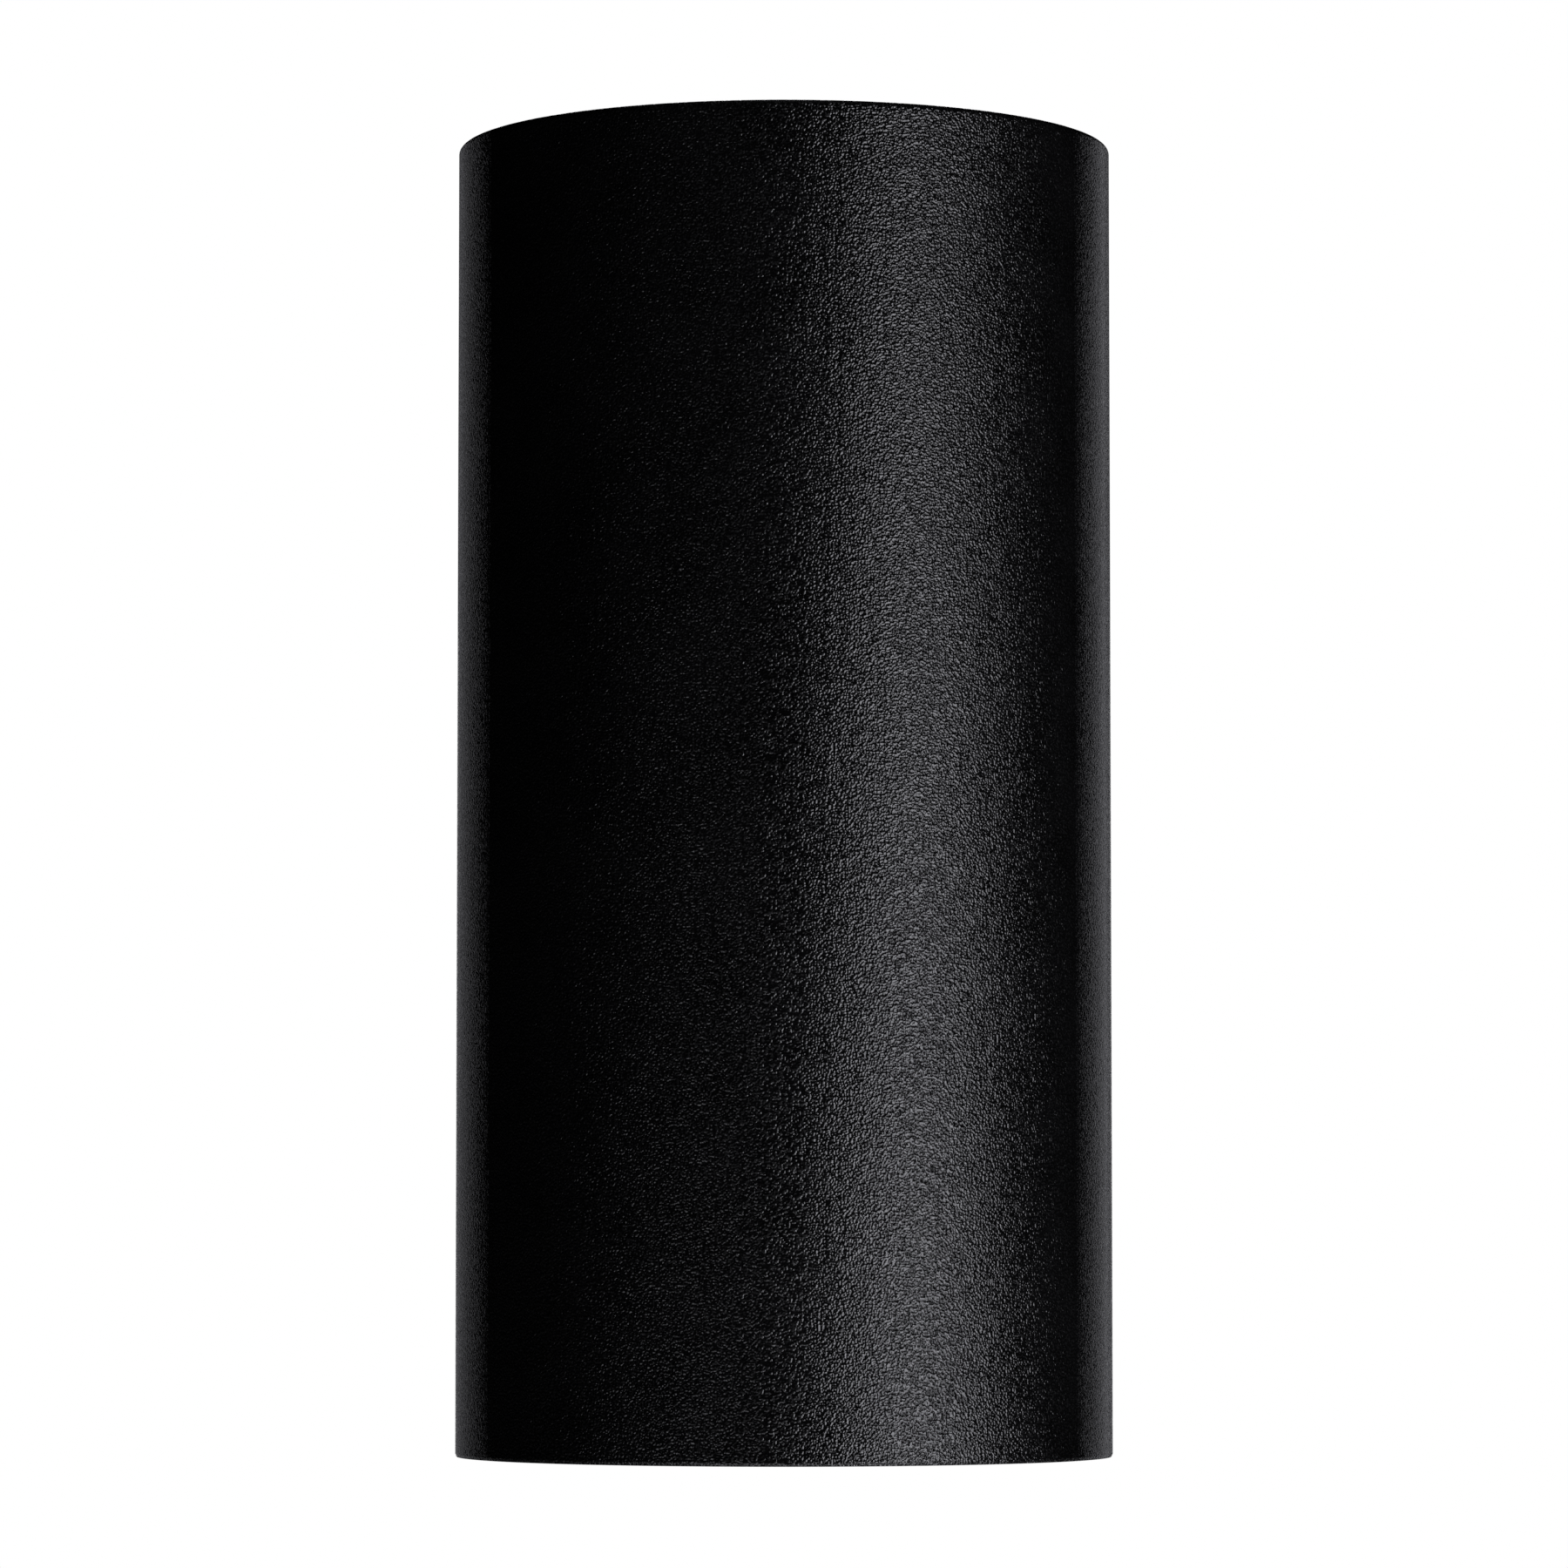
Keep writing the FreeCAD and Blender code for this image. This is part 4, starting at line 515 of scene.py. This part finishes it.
def roundedProfile(corners, radii, steps, support=0.5, loop=True):
    # Each corner becomes an arc: its centre lies on the bisector, radius / sin(half angle) from the
    # corner, and the arc turns from one tangent point to the other. A point before and after each
    # arc keeps the flats flat, so a corner takes steps + 2 points.
    corners, radii = np.asarray(corners, float), np.asarray(radii, float)
    toBefore = np.roll(corners, 1, axis=0) - corners
    toAfter = np.roll(corners, -1, axis=0) - corners
    toBefore /= np.linalg.norm(toBefore, axis=1, keepdims=True)
    toAfter /= np.linalg.norm(toAfter, axis=1, keepdims=True)
    half = 0.5 * np.arccos(np.clip((toBefore * toAfter).sum(1), -nearlyOne, nearlyOne))
    reach = (radii / np.tan(half))[:, None]
    middle = toBefore + toAfter
    middle /= np.linalg.norm(middle, axis=1, keepdims=True)
    centre = corners + middle * (radii / np.sin(half))[:, None]
    first, last = corners + toBefore * reach - centre, corners + toAfter * reach - centre
    turn = (np.pi - 2 * half)[:, None, None]
    share = np.linspace(0, 1, steps)[None, :, None]
    arc = np.sin((1 - share) * turn) * first[:, None] + np.sin(share * turn) * last[:, None]
    arc = arc / np.sin(turn) + centre[:, None]
    margin = (support * radii)[:, None]
    before = (corners + toBefore * (reach + margin))[:, None]
    after = (corners + toAfter * (reach + margin))[:, None]
    points = np.concatenate([before, arc, after], axis=1)
    keep = np.ones(points.shape[:2], bool)
    if not loop:  # the two ends lie on the axis, one point each
        keep[[0, -1], 1:] = False
    return points[keep]


def revolve(profile, turns, centre=(0.0, 0.0)):
    # x = cx + r cos t, y = cy + r sin t, z = h, with r and h along the profile and t round the axis
    angle = np.arange(turns) * 2 * np.pi / turns
    radius, height = profile[:, :1], profile[:, 1:]
    return np.stack([
        centre[0] + radius * np.cos(angle), centre[1] + radius * np.sin(angle), height + 0 * angle,
    ], axis=-1)


def closeGrid(grid, loop=False):
    # Four-cornered faces between the rows and round the columns. A row that is one point is a pole,
    # closed by triangles. Faces are turned over if the shape's signed volume is negative.
    rows, columns = grid.shape[:2]
    pole = np.ptp(grid, axis=1).max(axis=1) < tiny
    index = np.arange(rows * columns).reshape(rows, columns)
    index[pole] = index[pole][:, :1]
    low, high = (index, np.roll(index, -1, axis=0)) if loop else (index[:-1], index[1:])
    quads = np.stack([low, np.roll(low, -1, axis=1), np.roll(high, -1, axis=1), high], axis=-1)
    quads = quads.reshape(-1, 4)
    start, end = quads[:, 0] == quads[:, 1], quads[:, 2] == quads[:, 3]
    fans = np.concatenate([quads[start][:, [0, 2, 3]], quads[end][:, [0, 1, 2]]])
    quads = quads[~(start | end)]
    used, renamed = np.unique(np.concatenate([quads.ravel(), fans.ravel()]), return_inverse=True)
    points = grid.reshape(-1, 3)[used]
    quads, fans = renamed[:quads.size].reshape(-1, 4), renamed[quads.size:].reshape(-1, 3)
    thirds = np.concatenate([quads[:, [0, 1, 2]], quads[:, [0, 2, 3]], fans])
    a, b, c = (points[thirds[:, corner]] - points.mean(0) for corner in range(3))
    if (a * np.cross(b, c)).sum() < 0:
        quads, fans = quads[:, ::-1], fans[:, ::-1]
    return points, quads, fans


def makePiece(name, shapes, body, slotName, replaced, sharpAngle=40):
    # joins closed shapes in one mesh, smooth up to the sharp angle
    counts = np.cumsum([0] + [len(points) for points, _, _ in shapes])
    points = np.concatenate([shape[0] for shape in shapes])
    quads = np.concatenate([shape[1] + count for shape, count in zip(shapes, counts)])
    fans = np.concatenate([shape[2] + count for shape, count in zip(shapes, counts)])
    corners = np.concatenate([quads.ravel(), fans.ravel()])
    starts = np.concatenate([np.arange(len(quads)) * 4, quads.size + np.arange(len(fans)) * 3])
    mesh = bpy.data.meshes.new(name)
    mesh.vertices.add(len(points))
    mesh.vertices.foreach_set("co", points.astype(np.float32).ravel())
    mesh.loops.add(len(corners))
    mesh.loops.foreach_set("vertex_index", corners.astype(np.int32))
    mesh.polygons.add(len(starts))
    mesh.polygons.foreach_set("loop_start", starts.astype(np.int32))
    mesh.update(calc_edges=True)
    mesh.validate()
    mesh.shade_smooth()
    mesh.set_sharp_from_angle(angle=math.radians(sharpAngle))
    piece = bpy.data.objects.new(name, mesh)
    scene.collection.objects.link(piece)
    mesh.materials.append(finishOf(slotName))
    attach(piece, body)
    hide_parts(replaced)
    print(name, "made:", len(starts), "faces")


# the can

canValues = {
    "radius": 37.5 * mm,
    "top": 75 * mm,
    "mouth": -75 * mm,
    "mouthBore": 35.5 * mm,
    "seatTop": -41.3 * mm,
    "bore": 35 * mm,
    "ceiling": 72 * mm,
    "topRounding": 0.6 * mm,
    "mouthBevel": (0.14 * mm, 0.36 * mm),  # steep: in, up
    "fine": 0.04 * mm,  # rounding of the bevel's own edges
    "ceilingRounding": 1 * mm,
    "turns": 320,
    "rib": (9 * mm, 28 * mm, -33 * mm, 47 * mm),  # half width, face from the axis, low, high
    "ribSunk": 1 * mm,  # into the can's wall
    "ribRounding": 1 * mm,
    "bossRadius": 4.5 * mm,
    "bossBore": 2.05 * mm,
    "bossFace": 66 * mm,
    "bossDepth": 7.5 * mm,
    "bossRounding": 0.12 * mm,
    "bossTurns": 48,
    "bosses": ((24 * mm, 0.0), (-24 * mm, 0.0), (0.0, 18 * mm)),
}


def makeCan(v):
    # the can is a profile turned about its axis, with a rib on the wall side and three tapped
    # bosses under its top
    bevelIn, bevelUp = v["mouthBevel"]
    fine = v["fine"]
    profile = roundedProfile(
        [
            (0, v["top"]), (v["radius"], v["top"]), (v["radius"], v["mouth"] + bevelUp),
            (v["radius"] - bevelIn, v["mouth"]), (v["mouthBore"], v["mouth"]),
            (v["mouthBore"], v["seatTop"]), (v["bore"], v["seatTop"]), (v["bore"], v["ceiling"]),
            (0, v["ceiling"]),
        ],
        [0, v["topRounding"], fine, fine, 2 * fine, fine, fine, v["ceilingRounding"], 0],
        steps=7, loop=False,
    )
    shapes = [closeGrid(revolve(profile, v["turns"], axis))]
    halfWidth, face, low, high = v["rib"]
    back = v["bore"] + v["ribSunk"]
    centre = (0, axisY + (face + back) / 2, (low + high) / 2)
    halves = (halfWidth, (back - face) / 2, (high - low) / 2)
    shapes.append(roundedBlock(centre, halves, v["ribRounding"]))
    low, high = v["bossFace"], v["bossFace"] + v["bossDepth"]
    outer, inner = v["bossRadius"], v["bossBore"]
    corners = [(inner, low), (outer, low), (outer, high), (inner, high)]
    boss = roundedProfile(corners, [v["bossRounding"]] * 4, steps=4)
    for x, y in v["bosses"]:
        shapes.append(closeGrid(revolve(boss, v["bossTurns"], (x, axisY + y)), loop=True))
    makePiece("spotlightCan", shapes, "housing", "black_paint", "lamp_housing")


def roundedBlock(centre, halves, radius, steps=5, cornerShare=1.2):
    # Rows are rounded rectangles, set in by the arc of the rounding at both ends. Their corners are
    # a little rounder than the two rims, by the corner share.
    halfX, halfY, halfZ = halves
    corners = [(0, halfZ), (halfX, halfZ), (halfX, -halfZ), (0, -halfZ)]
    side = roundedProfile(corners, [0, radius, radius, 0], steps, loop=False)
    rim = side[1:-1]
    inset = halfX - rim[:, 0]
    corners = [(halfX, halfY), (-halfX, halfY), (-halfX, -halfY), (halfX, -halfY)]
    outline = roundedProfile(corners, [radius * cornerShare] * 4, steps)
    share = 1 - inset[:, None, None] / np.array([halfX, halfY])
    flat = outline[None] * share
    ends = np.zeros((1,) + flat.shape[1:])
    flat = np.concatenate([ends, flat, ends])
    height = np.concatenate([[halfZ], rim[:, 1], [-halfZ]])
    height = np.broadcast_to(height[:, None, None], flat.shape[:2] + (1,))
    grid = np.concatenate([flat, height], axis=-1)
    return closeGrid(grid + np.asarray(centre))


makeCan(canValues)

# the saddle box between wall and can

boxValues = {
    "halfWidth": 28 * mm,
    "halfHeight": 50 * mm,
    "cornerRadius": 8 * mm,
    "wall": 2.5 * mm,
    "back": 2 * mm,  # back rim, from the wall
    "saddleRadius": 38.5 * mm,
    "backRounding": 0.5 * mm,
    "frontRounding": 0.3 * mm,
    "innerRounding": 1.5 * mm,
    "leastCorner": 1 * mm,
    "cornerSteps": 14,
    "cornerSupport": 0.1,
    "capRows": 14,
}


def makeBox(v):
    # Rows are the rounded outline, set in from the outside; y runs from the back rim to the saddle,
    # which lies on a round about the can's axis: y = axis + sqrt(R * R - x * x). The front and the
    # inside end in rows that shrink to a pole. The profile's points are inset and depth.
    def outline(inset):
        x, z = v["halfWidth"] - inset, v["halfHeight"] - inset
        corners = [(x, z), (-x, z), (-x, -z), (x, -z)]
        radius = max(v["cornerRadius"] - inset, v["leastCorner"])
        return roundedProfile(corners, [radius] * 4, v["cornerSteps"], v["cornerSupport"])

    depth = -axisY - v["saddleRadius"] - v["back"]  # from back rim to saddle in the middle
    wall = v["wall"]
    far = 3 * wall  # where the front and the inside go over to the rows that shrink
    profile = roundedProfile(
        [(far, depth), (0, depth), (0, 0), (wall, 0), (wall, depth - wall), (far, depth - wall)],
        [0, v["frontRounding"], v["backRounding"], v["backRounding"], v["innerRounding"], 0],
        steps=5, loop=False,
    )[1:-1]
    inner = np.cumsum(profile[:, 0] > wall / 2) > 0
    inner &= np.arange(len(profile)) > np.argmin(profile[:, 1])
    lines = np.stack([outline(inset) for inset in profile[:, 0]])
    capRows = v["capRows"]
    shrink = np.linspace(0, 1, capRows, endpoint=False)[:, None, None]
    lines = np.concatenate([lines[:1] * shrink, lines, lines[-1:] * shrink[::-1]])
    rowDepth = np.pad(profile[:, 1], capRows, mode="edge")
    inside = np.pad(inner, capRows, mode="edge")
    radius = np.where(inside, v["saddleRadius"] + wall, v["saddleRadius"])[:, None]
    reach = np.where(inside, depth - wall, depth)[:, None]
    # from back rim to saddle, at this x
    arch = -axisY - np.sqrt(radius**2 - lines[..., 0] ** 2) - v["back"]
    y = -(v["back"] + rowDepth[:, None] / reach * arch)
    grid = np.stack([lines[..., 0], y, lines[..., 1]], axis=-1)
    makePiece("saddleBox", [closeGrid(grid)], "housing", "black_paint", "wall_box")


makeBox(boxValues)

# the threaded front ring, with its grip notches

ringValues = {
    "face": -57 * mm,
    "flangeTop": -54 * mm,
    "end": -47 * mm,
    "coneMouth": 31.5 * mm,
    "flange": 34.8 * mm,
    "sleeve": 31.85 * mm,
    "aperture": 27 * mm,
    "bevel": 0.4 * mm,
    "fine": 0.1 * mm,
    "notches": 4,
    "notchHalf": 2.5 * mm,
    "notchDepth": 1.6 * mm,
    "notchFrom": 32.4 * mm,
    "notchSlope": 0.03 * mm,
    "notchColumns": 9,
    "plainColumns": 61,
    "edgeRow": 0.05 * mm,  # a row just outside the notches' inner edge
    "floorSlope": 0.01,  # keeps the notch's rows apart
    "grooves": (0.05 * mm, 9),  # fine steps turned into the cone against glare: depth, count
    "grooveRows": 8,
}


def makeRing(v):
    # A profile turned about the axis. In the notches, the face and the flange start one notch depth
    # higher, and the columns at a notch's sides lie at asin(half width / r), so that the sides are
    # parallel.
    face, bevel, fine = v["face"], v["bevel"], v["fine"]
    steps = 4
    profile = roundedProfile(
        [
            (v["aperture"], v["end"]), (v["coneMouth"], face), (v["flange"] - bevel, face),
            (v["flange"], face + bevel), (v["flange"], v["flangeTop"]),
            (v["sleeve"], v["flangeTop"]), (v["sleeve"], v["end"] - bevel),
            (v["sleeve"] - bevel, v["end"]),
        ],
        [fine, fine, fine, fine, fine, 0.5 * fine, fine, fine], steps,
    )
    coneStart = steps + 2  # the cone runs between the first two corners
    coneEnd = 2 * coneStart
    depth, count = v["grooves"]
    coneRows = count * v["grooveRows"]
    along = np.linspace(0, 1, coneRows + 2)[1:-1, None]
    cone = profile[coneStart - 1] * (1 - along) + profile[coneStart] * along
    cone[:, 0] += depth * (0.5 - 0.5 * np.cos(2 * np.pi * count * along[:, 0]))
    edgeSteps = (-v["notchSlope"], 0.0, v["edgeRow"])
    edge = np.array([[v["notchFrom"] + step, face] for step in edgeSteps])
    profile = np.concatenate([
        profile[:coneStart], cone, profile[coneStart:coneEnd], edge, profile[coneEnd:],
    ])
    notchRow = coneEnd + coneRows
    radius, height = profile[:, :1], profile[:, 1:]
    inRows = (np.arange(len(profile)) > notchRow)[:, None] & (radius >= v["notchFrom"] - tiny)
    side = np.arcsin(v["notchHalf"] / np.maximum(radius, v["notchFrom"]))
    slope = v["notchSlope"] / radius
    period = 2 * np.pi / v["notches"]
    inside = np.linspace(-1, 1, v["notchColumns"]) * (side - slope)
    outside = side + np.linspace(0, 1, v["plainColumns"]) * (period - 2 * side)
    angle = np.concatenate([inside, outside], axis=1)
    inColumns = np.tile(np.arange(angle.shape[1]) < v["notchColumns"], v["notches"])[None]
    angle = np.concatenate([angle + number * period for number in range(v["notches"])], axis=1)
    raised = np.maximum(height, face + v["notchDepth"] + v["floorSlope"] * (height - face))
    height = np.where(inRows & inColumns, raised, height)
    grid = np.stack([radius * np.cos(angle), axisY + radius * np.sin(angle), height], axis=-1)
    ring = closeGrid(grid, loop=True)
    makePiece("frontRing", [ring], "front_ring", "black_anodised", "front_ring")


makeRing(ringValues)

# the lamp: shell and lens cluster

lampValues = {
    "front": -41 * mm,
    "radius": 25 * mm,
    "bore": 23.5 * mm,
    "boardBack": -26.8 * mm,
    "capJoint": -10 * mm,
    "capMouth": 14.5 * mm,
    "neck": 12 * mm,
    "spigot": 4 * mm,
    "ledge": 20 * mm,
    "rim": 0.7 * mm,
    "fine": 0.15 * mm,
    "flutes": (12, 0.25 * mm),  # round the taper: count, depth
    "taperRows": 10,
    "turns": 288,
}


def makeShell(v):
    # A profile turned about the axis. Between board and cap the outside waves in, in flutes, by
    # depth * (1 - cos(count * angle)) / 2, and depth fades out at both ends of the taper.
    fine, rim, steps = v["fine"], v["rim"], 6
    profile = roundedProfile(
        [
            (v["bore"], v["front"]), (v["radius"], v["front"]), (v["radius"], v["boardBack"]),
            (v["capMouth"], v["capJoint"]), (v["neck"], v["capJoint"]),
            (v["neck"], v["capJoint"] - v["spigot"]), (v["ledge"], v["boardBack"]),
            (v["bore"], v["boardBack"]),
        ],
        [fine, rim, 2 * rim, rim, fine, rim, fine, fine], steps,
    )
    taperStart = 3 * (steps + 2)  # rows of the first three corners
    share = np.linspace(0, 1, v["taperRows"] + 2)[1:-1, None]
    added = profile[taperStart - 1] * (1 - share) + profile[taperStart] * share
    profile = np.concatenate([profile[:taperStart], added, profile[taperStart:]])
    grid = revolve(profile, v["turns"], axis)
    away = grid[..., :2] - axis
    taper = (grid[..., 2] - v["boardBack"]) / (v["capJoint"] - v["boardBack"])
    outside = np.zeros(len(profile))
    outside[taperStart - 1:taperStart + v["taperRows"] + 1] = 1
    count, deepest = v["flutes"]
    depth = deepest * outside[:, None] * np.sin(np.pi * np.clip(taper, 0, 1)) ** 2
    wave = 0.5 - 0.5 * np.cos(count * 2 * np.pi * np.arange(v["turns"]) / v["turns"])
    radius = np.linalg.norm(away, axis=-1)
    grid[..., :2] = axis + away * (1 - depth * wave / radius)[..., None]
    shell = closeGrid(grid, loop=True)
    makePiece("lampShell", [shell], "lamp", "white_plastic", "lamp_shell")


makeShell(lampValues)

opticValues = {
    "front": -40.4 * mm,
    "back": -37.4 * mm,
    "radius": 23.4 * mm,
    "rounding": 0.3 * mm,
    "lensRadius": 6.4 * mm,
    "lensTip": 2.6 * mm,
    "tipHeight": -29.4 * mm,
    "bulge": 0.6,  # power of the side's curve
    # the tip's hollow: radii and depths, as shares of the tip's radius
    "hollow": ((0.62, 0), (0.55, 0.24), (0.5, 0.6), (0.3, 0.84), (0, 0.92)),
    "baseInner": 0.97,  # a row just inside the base's edge, as a share of the lens radius
    "circle": (6, 14.5 * mm),  # lenses round the middle one, radius
    "dish": 0.7 * mm,
    "airGap": 0.03 * mm,
    "rings": 84,
    "turns": 288,
    "lensRows": 16,
    "lensTurns": 64,
}


def makeOptic(v):
    # The plate's front is dished over each lens by dish * (1 + cos(pi * d / lens radius)) / 2,
    # with d measured from the lens's axis. A lens is a cone whose side bulges,
    # r = tip + (wide - tip) * share ** bulge, with a hollow tip over its chip.
    count, circleRadius = v["circle"]
    turn = np.arange(count) * 2 * np.pi / count
    circle = np.stack([np.cos(turn), np.sin(turn)], axis=1) * circleRadius
    places = np.concatenate([[[0, 0]], circle])
    corners = [(0, v["front"]), (v["radius"], v["front"]), (v["radius"], v["back"]), (0, v["back"])]
    edge = roundedProfile(corners, [0, v["rounding"], v["rounding"], 0], steps=4, loop=False)
    rows = v["rings"]
    flat = np.linspace(0, edge[1, 0], rows, endpoint=False)[1:]
    front = np.stack([flat, np.full_like(flat, v["front"])], axis=1)
    plate = revolve(np.concatenate([edge[:1], front, edge[1:]]), v["turns"], axis)
    reach = np.linalg.norm(plate[:rows, :, None, :2] - (places + axis), axis=-1) / v["lensRadius"]
    dish = (0.5 + 0.5 * np.cos(np.pi * np.minimum(reach, 1))).max(axis=-1)
    plate[:rows, :, 2] += v["dish"] * dish
    share = np.linspace(0, 1, v["lensRows"])
    base = v["back"] + v["airGap"]
    side = np.stack([
        v["lensTip"] + (v["lensRadius"] - v["lensTip"]) * share[::-1] ** v["bulge"],
        base + (v["tipHeight"] - base) * share,
    ], axis=1)
    hollow = np.array(v["hollow"]) * v["lensTip"]
    hollow[:, 1] = v["tipHeight"] - hollow[:, 1]
    start = np.array([[0, base], [v["lensRadius"] * v["baseInner"], base]])
    profile = np.concatenate([start, side, hollow])
    shapes = [closeGrid(plate)]
    shapes += [closeGrid(revolve(profile, v["lensTurns"], (x, axisY + y))) for x, y in places]
    makePiece("lensCluster", shapes, "lamp", "clear_plastic", "lamp_optic")


makeOptic(opticValues)

# the two side screws of the box

screwValues = {
    "seat": 28 * mm,
    "place": (-12 * mm, 0.0),  # y, z
    "headRadius": 3.7 * mm,
    "headHeight": 2.4 * mm,
    "headRounding": 0.9 * mm,
    "shankRadius": 2 * mm,
    "length": 7.5 * mm,
    "socketRadius": 1.45 * mm,
    "socketDepth": 1.3 * mm,
    "socketBlend": (0.24 * mm, 0.72 * mm),  # outside the socket, from all hexagon to all round
    "fine": 0.12 * mm,
    "turns": 96,
}


def makeSideScrews(v):
    # a profile turned about x; where the socket is, the radius is that of a hexagon,
    # apothem / cos(angle from a flat)
    head, fine, socket = v["headHeight"], v["fine"], v["socketRadius"]
    bottom = head - v["socketDepth"]
    profile = roundedProfile(
        [
            (0, bottom), (socket, bottom), (socket, head), (v["headRadius"], head),
            (v["headRadius"], 0), (v["shankRadius"], 0), (v["shankRadius"], -v["length"]),
            (0, -v["length"]),
        ],
        [0, fine, fine, v["headRounding"], fine, 0.5 * fine, 3 * fine, 0],
        steps=6, loop=False,
    )
    grid = revolve(profile, v["turns"])
    angle = np.arange(v["turns"]) * 2 * np.pi / v["turns"]
    halfSide = np.pi / 6
    fromFlat = np.mod(angle, 2 * halfSide) - halfSide
    hexagon = np.cos(halfSide) / np.cos(fromFlat)
    start, end = v["socketBlend"]
    share = np.clip((socket + end - profile[:, 0]) / (end - start), 0, 1)
    share[len(profile) // 2 + 1:] = 0  # the head's underside and the shank stay round
    grid[..., :2] *= (1 + share[:, None] * (hexagon - 1))[..., None]
    y, z = v["place"]
    shapes = []
    for side in (1, -1):
        x = side * (v["seat"] + grid[..., 2])
        shapes.append(closeGrid(np.stack([x, y + grid[..., 0], z + grid[..., 1]], axis=-1)))
    makePiece("sideScrews", shapes, "housing", "black_steel", "fixing_screws", sharpAngle=35)


makeSideScrews(screwValues)

# finishes of the nodes that stay as they are

for part in frame["record"]["subparts"]:
    node = frame["nodes"][part["node"]]
    node.data.materials.clear()
    node.data.materials.append(finishOf(part["material_slot"]))
print("all", len(frame["nodes"]), "nodes finished")
